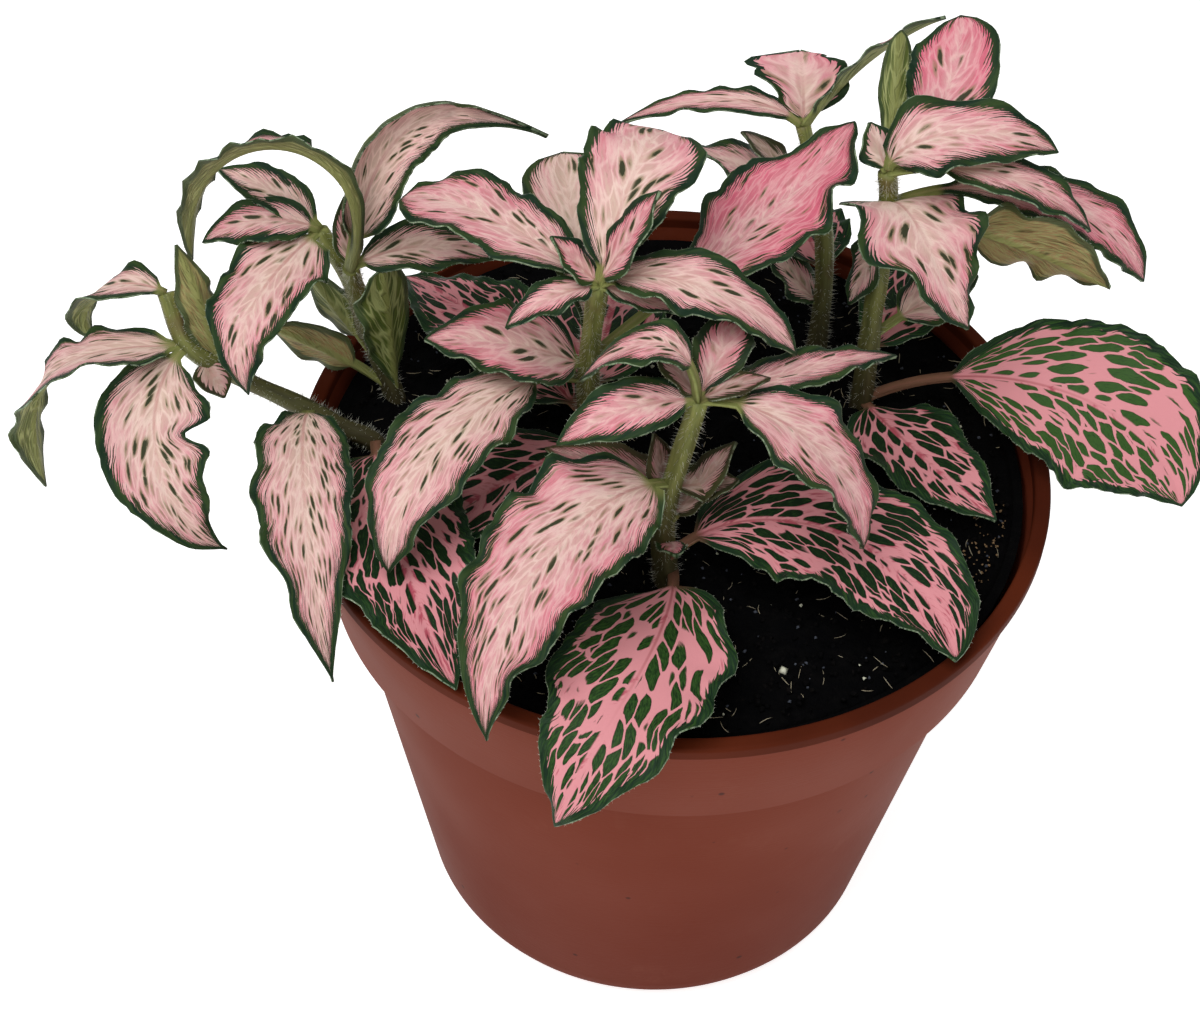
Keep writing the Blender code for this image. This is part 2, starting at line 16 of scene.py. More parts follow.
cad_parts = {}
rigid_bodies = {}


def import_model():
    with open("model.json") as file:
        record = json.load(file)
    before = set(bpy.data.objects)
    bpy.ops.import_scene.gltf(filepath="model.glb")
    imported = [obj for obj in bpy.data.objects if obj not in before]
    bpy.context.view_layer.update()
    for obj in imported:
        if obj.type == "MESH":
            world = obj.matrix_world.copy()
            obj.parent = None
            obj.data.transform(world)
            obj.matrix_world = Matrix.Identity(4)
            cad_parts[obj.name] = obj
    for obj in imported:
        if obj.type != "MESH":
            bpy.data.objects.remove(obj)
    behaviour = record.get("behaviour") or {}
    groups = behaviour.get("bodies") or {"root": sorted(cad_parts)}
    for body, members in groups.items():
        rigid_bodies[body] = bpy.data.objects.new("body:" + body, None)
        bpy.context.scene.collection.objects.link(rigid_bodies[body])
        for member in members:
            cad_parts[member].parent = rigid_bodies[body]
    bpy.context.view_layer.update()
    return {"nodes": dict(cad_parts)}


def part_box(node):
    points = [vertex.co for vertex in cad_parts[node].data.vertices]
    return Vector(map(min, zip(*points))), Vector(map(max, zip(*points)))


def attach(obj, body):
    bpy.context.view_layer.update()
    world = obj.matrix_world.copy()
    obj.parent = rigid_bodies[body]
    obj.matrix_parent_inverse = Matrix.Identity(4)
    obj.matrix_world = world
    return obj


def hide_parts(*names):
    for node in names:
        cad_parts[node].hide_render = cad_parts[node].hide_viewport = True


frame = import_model()

MM = 0.001
UP = np.array([0.0, 0.0, 1.0])

# ---- camera: metres and degrees, and the lens in millimetres
CAMERA_TARGET = (-0.0115, 0.0, 0.0858)
CAMERA_ELEVATION = 46.93
CAMERA_DISTANCE = 0.3547
CAMERA_ROLL = 2.32
CAMERA_LENS = 64.6

# ---- leaves
ROW_LENGTH = 0.8  # spacing of a blade's rows
COLUMN_WIDTH = 1.6  # and of its columns
FEWEST_ROWS = 20
FEWEST_COLUMNS = 6  # on each half
MIDRIB_SLACK = 1.1  # a midrib's length, over the straight line from root to tip
CROWDING = 0.3  # how far the columns crowd towards the margin
BLADE_THICKNESS = 0.42
MARGIN_THICKNESS = 0.22
PETIOLE_HALF_WIDTH = 0.85
PETIOLE_DEPTH = 0.9
TIP_HALF_WIDTH = 0.15
RIB_HALF_WIDTH = 0.65  # the midrib under the blade
RIB_TAPER = 0.75
GROOVE_DEPTH = 0.3  # the groove over the midrib
GROOVE_HALF_WIDTH = 0.6
VEIN_LEAN = (0.45, 0.36)  # how far a side vein runs towards the tip, over the length: young and old leaves
VEIN_REACH = 0.42  # length given to a side vein, over the blade's length
MARGIN_BAND = 1.2  # width of the green margin
FOLD_PER_CUP = 1.5
LOBES_PER_MM = (0.035, 0.11)
NICKS_PER_MM = (0.25, 0.5)
NICK_DEPTH = 0.014
FRILLS_PER_MM = (0.09, 0.22)
WAVES_PER_LEAF = 2.3
WAVE_HEIGHT = 0.05  # height of the margin's waves, over the width
WAVE_OFFSET = 1.9  # how far each half's waves are shifted, in radians and opposite ways
PATTERN_STEP = 97  # gives each leaf its own place in the patterns

# ---- hairs and stems
HAIR_SIDES = 3
HAIRS_PER_POINT = 3  # on a leaf's margin
LEAF_HAIR_LENGTH = (0.2, 0.55)
LEAF_HAIR_RADIUS = 0.02
HAIRLESS_HALF_WIDTH = 1.4  # a narrower stretch of a leaf has no hairs
STEM_HAIRS_PER_MM = 22
STEM_HAIR_LENGTH = (0.5, 1.5)
STEM_HAIR_RADIUS = 0.03
STEM_HAIR_LEAN = (-0.35, 0.5)
STEM_RINGS = 48
STEM_SIDES = 18
STEM_RIDGES = 4
STEM_RELIEF = 0.05  # height of the ridges and of the lumps, over the radius
STEM_LUMPS_PER_MM = (0.02, 0.09)
SHADED_STEM = 36  # height over the soil up to which a stem is darker with painted shade

# ---- pot and soil
POT_HEIGHT = 100
RIM_RADIUS = 60
LIP_WIDTH = 2.6
LIP_FOOT = 98
LIP_ROUND = 0.6
LIP_SHOULDER = (0.9, 1)  # depth and height of the thickening inside, under the lip
LIP_FILLET = (0.3, 0.9)  # depth and height of the fillet outside, under the lip
LIP_COLOUR = (3.4, 2.8)  # how far in from the rim the lip's colour starts and is full
LIP_COLOUR_RISE = 0.3  # height over which it comes in, below the lip's foot
COLLAR_FOOT = 78.3
COLLAR_FOOT_RADIUS = 56.2
COLLAR_CHAMFER = (0.3, 0.4)
STEP_DEPTH = 3.0
STEP_SLOPE = 1  # height of the step's slope
INNER_STEP_FOOT = 2  # the inside's step ends this far below the collar's foot
BASE_RADIUS = 42
BASE_ROUND = 6
INNER_WALL_FOOT = 7
WALL = 1.3
FLOOR = 1.6
POT_SIDES = 200
DRAIN_HOLES = 8
DRAIN_RING_RADIUS = 27
DRAIN_RADIUS = 3.5
DRAIN_SIDES = 32
SOIL_SURFACE = 96
PEAT_RISE = 0.9  # mean height of the lumps of peat
PEAT_EDGE = 7  # width of the soil's edge, where the lumps die out
PEAT_RINGS = 60
PEAT_SIDES = 180
PEAT_INSET = 1.6  # how far the sheet of peat ends in from the CAD soil's edge
BITS_INSET = 2.5
SOIL_BITS = 3800
FIBRE_EVERY = 9
PERLITE_EVERY = 97
GRIT_EVERY = 10
DUST_CRUMBS = 140
DUSTY_RIM = (-0.75, -0.1)  # the stretch of the soil's edge that has dust on it, in radians
WHITE_CRUMB = (16.5, -42.5)  # the place of one big crumb of perlite

# ---- surroundings
FLOOR_HALF_WIDTH = 3000
FLOOR_GLOW = 0.75
BACKDROP_STRENGTH = 0.36


class Leaf(NamedTuple):
    """One leaf. The midrib is a curve from root to tip, and the angles are in degrees."""

    root: tuple
    tip: tuple
    width: float
    rise: float = 0       # climb of the midrib at the root, above the straight line to the tip
    droop: float = 0      # fall of the midrib at the tip
    roll: float = 0       # turn of the blade about that line
    sweep: float = 0      # sideways bow of the midrib
    twist: float = 0      # further turn of the blade towards its tip
    cup: float = 0.12     # how far the two halves fold up
    stiffness: float = 0.36   # how far the root and tip directions carry along the midrib
    petiole: float = 0.08     # bare part of the midrib
    belly: tuple = (0.55, 0.9)  # fullness near the root and near the tip
    old: bool = False     # dark green with a pink net, where a young leaf is pink
    pink: float = 0.3     # from cream to deep pink, or how wide an old leaf's veins are
    dots: float = 0.5     # how many green flecks, or how light an old leaf is
    frill: float = 0.5    # height of the margin's small uneven waves
    lobes: float = 0.06   # unevenness of the outline, over the width
    curl: tuple = (0, 0)  # further folding up of the left and right halves, in radians
    bites: tuple = ()     # dents in the margin: share of the midrib, side, depth and length
    brown_and_shade: float = 0      # how far the leaf is brown: its own brown-olive colour, darkened with painted shade where it lies deep in the plant


class Shoot(NamedTuple):
    """One leafy shoot: its stem and any branch, as points from foot to crown, and leaves."""

    stems: list
    foot_radius: float
    crown_radius: float
    leaves: list


# ---- the six shoots, in millimetres
LEFT_NODE = (-76, 0, 118)
LEFT_CROWN = (-79, 4, 125)
BACK_LEFT_NODE = (-52, 17, 116)
BACK_LEFT_CROWN = (-52, 14, 123)
BACK_LEFT_SIDE_CROWN = (-57, 18, 127)
MIDDLE_NODE = (-14, -2, 122)
MIDDLE_CROWN = (-13, -6, 139)
FRONT_NODE = (-1, -23, 116)
FRONT_CROWN = (2, -22, 132)
RIGHT_NODE = (31, 20, 135)
RIGHT_CROWN = (30, 19, 142)
BACK_NODE = (22, 32, 126)
BACK_CROWN = (18, 34, 139)

LEFT_LEAVES = [
    Leaf(LEFT_NODE, (-69, -21, 95), 17, rise=35, droop=30, sweep=60, stiffness=0.45, belly=(0.65, 1.2),
         dots=0.9, frill=0.7, lobes=0.09, bites=((0.42, -1, 0.5, 0.06),)),
    Leaf(LEFT_NODE, (-99, -11, 97), 14, rise=60, droop=55, twist=60, stiffness=0.7, petiole=0.04,
         belly=(0.45, 0.9), pink=0.35, dots=0.6, lobes=0.1),
    Leaf(LEFT_CROWN, (-92, 5, 114), 10, rise=75, droop=80, twist=40, stiffness=0.5, petiole=0.05,
         belly=(0.45, 0.9), pink=0.35),
    Leaf((-72, 1, 114), (-77, 6, 133), 7, rise=10, droop=10, roll=180, pink=0.5),
    Leaf((-58, 1, 104), (-49.5, -47, 96), 15, rise=55, droop=50, sweep=14, belly=(0.7, 1.2), pink=0.35,
         dots=0.9, frill=0.7, lobes=0.12),
    Leaf((-48, 1, 98), (-31, -52, 102), 23, rise=30, droop=10, sweep=10, petiole=0.14, old=True,
         pink=0.35),
    Leaf((-74, 0, 115), (-70, -5, 112), 6, rise=20, droop=20, brown_and_shade=0.5),
]
BACK_LEFT_LEAVES = [
    Leaf(BACK_LEFT_SIDE_CROWN, (-66, -6, 114), 15, rise=20, droop=75, sweep=18, stiffness=0.5,
         petiole=0.05, belly=(0.3, 0.95), pink=0.45, dots=0.8, frill=0.8),
    Leaf(BACK_LEFT_SIDE_CROWN, (-75, 15, 126), 8, rise=42, droop=40, roll=-20, pink=0.55, dots=0.2),
    Leaf(BACK_LEFT_SIDE_CROWN, (-74, 27, 131), 8, rise=30, droop=20, roll=-15, cup=0.3, pink=0.25),
    Leaf(BACK_LEFT_CROWN, (-78, 18, 120), 7, rise=122, droop=84, roll=50, sweep=28, twist=-40, cup=0.4,
         stiffness=1.25, petiole=0.04, belly=(0.9, 0.7), pink=0.4, frill=0.7),
    Leaf(BACK_LEFT_CROWN, (-22, 27, 140), 13, rise=44, droop=60, roll=40, sweep=-16, cup=0.5,
         stiffness=0.6, belly=(0.5, 1.4), pink=0.2, dots=0.6, frill=1.0, curl=(1.6, 0)),
    Leaf(BACK_LEFT_CROWN, (-53, 19, 133), 5, pink=0.4, brown_and_shade=0.3),
    Leaf(BACK_LEFT_CROWN, (-29, 20, 121), 9, rise=35, droop=30, roll=20, pink=0.35, dots=0.6),
    Leaf((-46, 12, 98), (-47, 13, 124), 10, roll=180, belly=(0.9, 0.45), pink=0.2),
    Leaf((-46, 12, 99), (-66, 15, 109), 8, rise=12, droop=10, roll=100, petiole=0.35, pink=0.7),
    Leaf((-48, 13, 104), (-60, 20, 117), 8, roll=100, petiole=0.3),
]
MIDDLE_LEAVES = [
    Leaf(MIDDLE_CROWN, (-43, 12, 139), 15, rise=16, droop=32, belly=(0.7, 0.6), pink=0.5, lobes=0.07),
    Leaf(MIDDLE_CROWN, (-4.5, 17, 149.5), 17, rise=35, droop=55, belly=(0.75, 0.45), dots=0.8, frill=0.8,
         lobes=0.09),
    Leaf(MIDDLE_NODE, (-19.5, 22, 141), 14, rise=10, droop=10, belly=(1.3, 0.4), pink=0, dots=1.0,
         brown_and_shade=0.15),
    Leaf(MIDDLE_CROWN, (-5, -4, 155), 10, pink=0.75, dots=0.1),
    Leaf(MIDDLE_CROWN, (-20, -4, 146), 7, pink=0.6, dots=0),
    Leaf(MIDDLE_CROWN, (-26, -14, 137), 7, rise=20, droop=30, pink=0.6, dots=0.1),
    Leaf(MIDDLE_CROWN, (16, -12.3, 132.5), 11, rise=55, droop=50, roll=10, belly=(0.6, 0.9), pink=0.45,
         dots=0.3),
    Leaf((-14, -1, 118), (-39, -3, 124), 18, rise=15, droop=20, pink=0.6),
    Leaf(MIDDLE_CROWN, (-1, -8, 136), 5, pink=0.5),
    Leaf((-14, 0, 114), (-42, -35, 107), 16, rise=45, droop=60, sweep=35, petiole=0.22, belly=(0.6, 0.9),
         pink=0.35, dots=0.6, frill=0.8, lobes=0.1),
    Leaf((-14, -1, 120), (25, 26, 146), 18, rise=15, sweep=14, petiole=0.28, belly=(0.8, 0.8), pink=0.85,
         frill=1.0, lobes=0.12),
    Leaf((-14, 0, 106), (-46, 33, 105), 20, rise=15, droop=20, old=True, pink=0.2),
    Leaf((-13, 0, 101), (-42, -24, 100), 20, rise=10, droop=10, old=True),
    Leaf((-14, 0, 110), (-8, 37, 106), 20, rise=20, droop=25, old=True),
]
FRONT_LEAVES = [
    Leaf(FRONT_CROWN, (-18, -27, 127), 9, rise=30, droop=25, roll=-25, pink=0.7, dots=0.1),
    Leaf(FRONT_CROWN, (-15, -19, 132), 9, rise=85, droop=60, stiffness=0.8, petiole=0.2, pink=0.65,
         dots=0.4),
    Leaf(FRONT_CROWN, (7, -10, 136.5), 9, rise=10, droop=10, belly=(0.9, 0.5), pink=0.65, dots=0,
         brown_and_shade=0.12),
    Leaf(FRONT_CROWN, (-5, -17, 140), 6, pink=0.5, dots=0, brown_and_shade=0.5),
    Leaf(FRONT_CROWN, (32, -4, 125.5), 8, rise=4, droop=15, pink=0.6, dots=0.2),
    Leaf(FRONT_CROWN, (27, -31, 112), 15, rise=50, droop=50, sweep=-22, petiole=0.16, pink=0.6, dots=0.3,
         frill=0.7),
    Leaf(FRONT_CROWN, (12, -19, 134), 5, rise=20, droop=20, pink=0.4, brown_and_shade=0.6),
    Leaf(FRONT_NODE, (-20, -17, 116), 9, pink=0.6, dots=0, brown_and_shade=0.75),
    Leaf(FRONT_NODE, (-26, -61, 102), 21, rise=40, droop=50, sweep=35, belly=(0.5, 1.1), pink=0.55,
         dots=1.0, frill=1.0, lobes=0.1),
    Leaf((-1, -23, 115), (9, -20, 114), 7, pink=0.2, brown_and_shade=0.5),
    Leaf((0, -26, 100), (-16, -68, 92), 24, rise=25, droop=65, sweep=-24, stiffness=0.42, old=True,
         pink=0.8, dots=0.75, lobes=0.05),
    Leaf((-1, -26, 103), (41, -44, 103), 25, rise=28, droop=10, sweep=-60, stiffness=0.42, petiole=0.1,
         belly=(0.6, 0.8), old=True, pink=0.35, lobes=0.04),
    Leaf((-1, -24, 109), (8, -19, 121), 7, dots=0, brown_and_shade=0.55),
    Leaf((-1, -25, 105), (0, -32, 110), 5, rise=10, pink=0.8, dots=0),
    Leaf((-1, -24, 111), (-4, -20, 123), 6, dots=0, brown_and_shade=0.75),
]
RIGHT_LEAVES = [
    Leaf((31, 15, 98), (50, -14, 101), 18, rise=10, droop=10, sweep=10, old=True, pink=0.6),
    Leaf((31, 15, 98), (81, -5.5, 97), 27, rise=30, droop=60, roll=30, sweep=-26, petiole=0.24,
         belly=(0.9, 0.9), old=True, pink=0.8, dots=1.0, lobes=0.04),
    Leaf(RIGHT_NODE, (43, 1, 127), 21, rise=75, droop=45, sweep=30, stiffness=0.4, belly=(0.28, 0.95),
         pink=0.4, dots=0.7, frill=1.0, lobes=0.12),
    Leaf(RIGHT_CROWN, (55, 19, 147), 12, rise=78, droop=45, roll=30, belly=(0.5, 0.9), pink=0.5, dots=0.4,
         frill=0.7),
    Leaf(RIGHT_CROWN, (61, 13, 137), 8, rise=35, droop=45, roll=15, petiole=0.25, pink=0.6),
    Leaf(RIGHT_NODE, (66, 12, 127), 17, rise=8, droop=12, roll=-100, twist=45, cup=0.15, petiole=0.36,
         belly=(0.6, 0.9), pink=0.6, frill=1.0),
    Leaf(RIGHT_CROWN, (40, 36, 159), 14, rise=10, droop=10, sweep=30, petiole=0.2, belly=(0.9, 0.6),
         pink=0.8, dots=0.4),
    Leaf(RIGHT_CROWN, (27, 24, 147.5), 7, pink=0.1),
    Leaf((31, 20, 130), (27, 18, 116), 8),
    Leaf((31, 17, 110), (48, 24, 118), 12, rise=10, droop=10, petiole=0.3, pink=0.4),
    Leaf(RIGHT_CROWN, (31.5, 36, 156), 5, rise=-10, droop=-30, roll=180, belly=(1.0, 0.6), pink=0.1,
         dots=1.0, brown_and_shade=0.3),
    Leaf((31, 17, 106), (47, 42, 105), 15, rise=25, droop=30, old=True, pink=0.4),
    Leaf(RIGHT_NODE, (72, 16, 125), 10, rise=42, droop=50, roll=25, sweep=-12, petiole=0.16,
         belly=(1.0, 0.8), pink=0.7, dots=0.1),
]
BACK_LEAVES = [
    Leaf((24, 29, 106), (14, 33, 115), 9, pink=0.4),
    Leaf(BACK_CROWN, (17, 41, 148), 17, rise=20, droop=20, belly=(0.8, 0.35), pink=0.4, dots=0.3,
         frill=1.2, lobes=0.2, bites=((0.9, 1, 0.35, 0.06), (0.8, -1, 0.3, 0.06))),
    Leaf(BACK_CROWN, (-11, 35, 137), 5, rise=45, droop=30, roll=-30, twist=30, pink=0.5, frill=0.8),
    Leaf(BACK_CROWN, (39.5, 46, 152), 6, rise=30, droop=30, roll=-50, frill=0.8),
    Leaf(BACK_NODE, (8.5, 33, 138), 8, petiole=0.35, pink=0, dots=0.8, brown_and_shade=0.5),
    Leaf(BACK_NODE, (1, 27, 139), 14),
    Leaf((24, 30, 112), (17, 55, 106), 16, rise=20, droop=30, old=True, pink=0.4),
]

SHOOTS = {
    "shoot_left": Shoot(
        [[(-48, 1, 88), (-48, 1, 97), (-54, 1, 101), (-61, 1, 106), (-69, 1, 111), LEFT_NODE, LEFT_CROWN]],
        foot_radius=1.9, crown_radius=1.3, leaves=LEFT_LEAVES),
    "shoot_back_left": Shoot(
        [[(-46, 12, 88), (-46, 12, 97), (-49, 14, 106), BACK_LEFT_NODE, BACK_LEFT_CROWN],
         [(-50, 15, 108), BACK_LEFT_NODE, BACK_LEFT_SIDE_CROWN]],
        foot_radius=1.9, crown_radius=1.3, leaves=BACK_LEFT_LEAVES),
    "shoot_middle": Shoot(
        [[(-13, 0, 88), (-13, 0, 97), (-14, 0, 110), MIDDLE_NODE, MIDDLE_CROWN]],
        foot_radius=2.0, crown_radius=1.4, leaves=MIDDLE_LEAVES),
    "shoot_front": Shoot(
        [[(-1, -26, 88), (-1, -26, 97), (-2, -24, 108), FRONT_NODE, FRONT_CROWN]],
        foot_radius=2.1, crown_radius=1.4, leaves=FRONT_LEAVES),
    "shoot_right": Shoot(
        [[(31, 15, 88), (31, 15, 97), (31, 18, 118), RIGHT_NODE, RIGHT_CROWN]],
        foot_radius=2.0, crown_radius=1.3, leaves=RIGHT_LEAVES),
    "shoot_back": Shoot(
        [[(24, 27, 88), (24, 27, 97), (24, 30, 112), BACK_NODE, BACK_CROWN]],
        foot_radius=1.8, crown_radius=1.2, leaves=BACK_LEAVES),
}


# ---- small helpers
def unit(vector):
    """Scale a vector to length one."""
    return vector / np.linalg.norm(vector)


def around(radius, angle):
    """Give the X and Y of a place on a circle round the origin."""
    return radius * cos(angle), radius * sin(angle)


def uneven(dice, low, high, waves=4):
    """Make a smooth random curve with waves between two frequencies."""
    parts = [(dice.uniform(low, high), dice.uniform(0, 2 * pi)) for _ in range(waves)]
    return lambda x: sum(np.sin(2 * pi * often * x + phase) for often, phase in parts) / waves ** 0.5


def linear(red, green, blue):
    """Turn a colour of 0 to 255 steps into Blender's linear one."""
    shares = (step / 255 for step in (red, green, blue))
    return (*(s / 12.92 if s <= 0.04045 else ((s + 0.055) / 1.055) ** 2.4 for s in shares), 1)


def add_piece(name, mesh, slot, *replaced):
    """Put a mesh in the scene as a piece of the plant."""
    piece = bpy.data.objects.new(name, mesh)
    bpy.context.scene.collection.objects.link(piece)
    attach(piece, "root")
    if replaced:
        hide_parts(*replaced)
    return piece


def tube_faces(rings, sides):
    """Give the faces of a closed tube whose corners go round it, ring after ring."""
    faces = []
    for i in range(rings - 1):
        for j in range(sides):
            a = i * sides + j
            b = i * sides + (j + 1) % sides
            faces.append((a, b, b + sides, a + sides))
    return [*faces, tuple(range(sides))[::-1], tuple(range((rings - 1) * sides, rings * sides))]


class Shape:
    """Corners, faces and the maps that the materials read, gathered for one mesh."""

    def __init__(self):
        self.corners = []
        self.faces = []
        self.slots = []
        self.maps = {}
        self.count = 0

    def add(self, corners, faces, slot=0, **maps):
        """Add corners, with faces that count from the first of them."""
        corners = np.asarray(corners, float).reshape(-1, 3)
        self.corners.append(corners)
        self.add_faces(faces, slot, self.count)
        for name, values in maps.items():
            values = np.broadcast_to(np.asarray(values, float), (len(corners), 2))
            self.maps.setdefault(name, []).append((self.count, values))
        self.count += len(corners)

    def add_faces(self, faces, slot, first=0):
        """Add faces between corners that are counted from a given one."""
        self.faces += [tuple(i + first for i in face) for face in faces]
        self.slots += [slot] * len(faces)

    def mesh(self, name, materials):
        """Make the mesh, with a UV map for each kind of value."""
        mesh = bpy.data.meshes.new(name)
        corners = np.concatenate(self.corners) * MM
        mesh.from_pydata(corners.tolist(), [], self.faces)
        for material in materials:
            mesh.materials.append(material)
        mesh.polygons.foreach_set("material_index", self.slots)
        owner = np.zeros(len(mesh.loops), np.int32)
        mesh.loops.foreach_get("vertex_index", owner)
        for title, parts in self.maps.items():
            values = np.zeros((self.count, 2))
            for start, some in parts:
                values[start:start + len(some)] = some
            layer = mesh.uv_layers.new(name=title)
            layer.data.foreach_set("uv", values[owner].astype(np.float32).ravel())
        mesh.shade_smooth()
        return mesh


# ---- materials
class Value:
    """An output of a node, which + - and * join to other values."""

    def __init__(self, graph, socket):
        self.graph = graph
        self.socket = socket

    def __add__(self, other):
        return self.graph.math("ADD", self, other)

    def __sub__(self, other):
        return self.graph.math("SUBTRACT", self, other)

    def __rsub__(self, other):
        return self.graph.math("SUBTRACT", other, self)

    def __mul__(self, other):
        return self.graph.math("MULTIPLY", self, other)

    __radd__ = __add__


class Graph:
    """A Principled material whose nodes are joined by short calls."""

    def __init__(self, name):
        self.material = bpy.data.materials.new(name)
        self.material.use_nodes = True
        self.tree = self.material.node_tree
        self.shader = self.tree.nodes["Principled BSDF"]

    def node(self, kind, **settings):
        made = self.tree.nodes.new(f"ShaderNode{kind}")
        for name, value in settings.items():
            setattr(made, name, value)
        return made

    def put(self, socket, value):
        """Link a socket, or set its number or colour."""
        if isinstance(value, Value):
            self.tree.links.new(value.socket, socket)
        else:
            socket.default_value = value

    def fill(self, made, *values, **named):
        """Fill a node's inputs, in order or by name, and give its outputs."""
        for key, value in [*enumerate(values), *named.items()]:
            self.put(made.inputs[key], value)
        return [Value(self, output) for output in made.outputs]

    def math(self, operation, *values):
        return self.fill(self.node("Math", operation=operation), *values)[0]

    def step(self, value, low, high, out_low=0.0, out_high=1.0):
        """Go smoothly from one number to another as a value passes from low to high."""
        made = self.node("MapRange", interpolation_type="SMOOTHSTEP")
        return self.fill(made, value, low, high, out_low, out_high)[0]

    def mix(self, share, a, b):
        """Mix two colours."""
        made = self.node("Mix", data_type="RGBA")
        self.put(made.inputs[0], share)
        self.put(made.inputs[6], a)
        self.put(made.inputs[7], b)
        return Value(self, made.outputs[2])

    def parts(self, vector):
        """Give the three parts of a vector or colour."""
        return self.fill(self.node("SeparateXYZ"), vector)

    def uv(self, name):
        """Give the two values of a UV map."""
        return self.parts(self.fill(self.node("UVMap", uv_map=name))[0])[:2]

    def join(self, x, y, z=0.0):
        return self.fill(self.node("CombineXYZ"), x, y, z)[0]

    def place(self):
        """Give the object's own coordinates."""
        return Value(self, self.node("TexCoord").outputs["Object"])

    def noise(self, vector, scale=1.0, detail=2.0, roughness=0.5):
        made = self.node("TexNoise")
        return self.fill(made, Vector=vector, Scale=scale, Detail=detail, Roughness=roughness)[0]

    def cells(self, vector, scale=1.0, jitter=1.0, edge=False):
        """Give the distance in a pattern of cells, and a random colour for each where there is one."""
        made = self.node("TexVoronoi", feature="DISTANCE_TO_EDGE" if edge else "F1")
        distance, colour = self.fill(made, Vector=vector, Scale=scale, Randomness=jitter)[:2]
        return distance if edge else (distance, colour)

    def bump(self, height, depth):
        """Raise the surface by a height of 0 to 1, with its depth in metres."""
        raised = self.fill(self.node("Bump"), Height=height, Distance=depth)[0]
        self.put(self.shader.inputs["Normal"], raised)

    def finish(self, colour, roughness, specular):
        """Set the shader and give the material."""
        self.put(self.shader.inputs["Base Color"], colour)
        self.put(self.shader.inputs["Roughness"], roughness)
        self.put(self.shader.inputs["Specular IOR Level"], specular)
        return self.material


CREAM = linear(222, 192, 176)
PALE_VEIN = linear(240, 214, 202)
LIGHT_PINK = linear(222, 162, 166)
DEEP_PINK = linear(214, 98, 124)
ROSE = linear(172, 84, 90)
OLIVE = linear(126, 124, 80)
DARK_FLECK = linear(34, 46, 24)
MARGIN_GREEN = linear(20, 44, 27)
MARGIN_OLIVE = linear(50, 70, 34)
EDGE_PALE = linear(150, 168, 136)
STALK_GREEN = linear(138, 142, 80)
STALK_PINK = linear(132, 92, 72)
# brown of a leaf deep in the plant, darkened as painted shade
SHADED_BROWN = linear(72, 50, 30)
NET_PINK = linear(186, 84, 100)
NET_LIGHT = linear(224, 148, 154)
CELL_GREEN = linear(12, 36, 15)
CELL_LIGHT = linear(54, 88, 36)
UNDER_OLIVE = linear(104, 114, 48)
UNDER_DARK = linear(66, 84, 32)
UNDER_VEIN = linear(158, 164, 104)
UNDER_PINK = linear(154, 108, 74)
UNDER_FLECK = linear(78, 70, 34)


class LeafGraph(Graph):
    """A leaf material, with its places on the veins and the blade and the leaf's own tone."""

    def __init__(self, name):
        super().__init__(name)
        self.along, self.out = self.uv("veins")
        side, self.share = self.uv("blade")
        self.side = self.math("ABSOLUTE", side)
        self.margin, self.middle = self.uv("edge")
        self.pink, self.dots = self.uv("tone")

    def streaks(self, along_scale, out_scale, detail=2.0, roughness=0.5):
        """Give a noise that is drawn out along the side veins."""
        place = self.join(self.along * along_scale, self.out * out_scale)
        return self.noise(place, 1.0, detail, roughness)

    def teeth(self, spacing, length):
        """Give thin spikes that run in from the margin along the veins."""
        turns = self.along * (1 / spacing) + self.streaks(0.9, 0.25) * 2.6
        spike = self.math("POWER", self.math("PINGPONG", turns, 1.0), 1.7)
        reach = self.streaks(0.8, 0.05, 3.0, 0.7)
        return spike * self.step(reach, 0.35, 0.68, 0.2, 1.0) * length

    def net(self, along_scale, out_scale, bend=0.6):
        """Give a place in the net of veins, whose cells lie along the side veins."""
        sway = self.streaks(0.3, 0.25) - 0.5
        across = self.along * along_scale + sway * bend
        length = self.out * out_scale + sway * (bend / 2)
        return self.join(across, length)


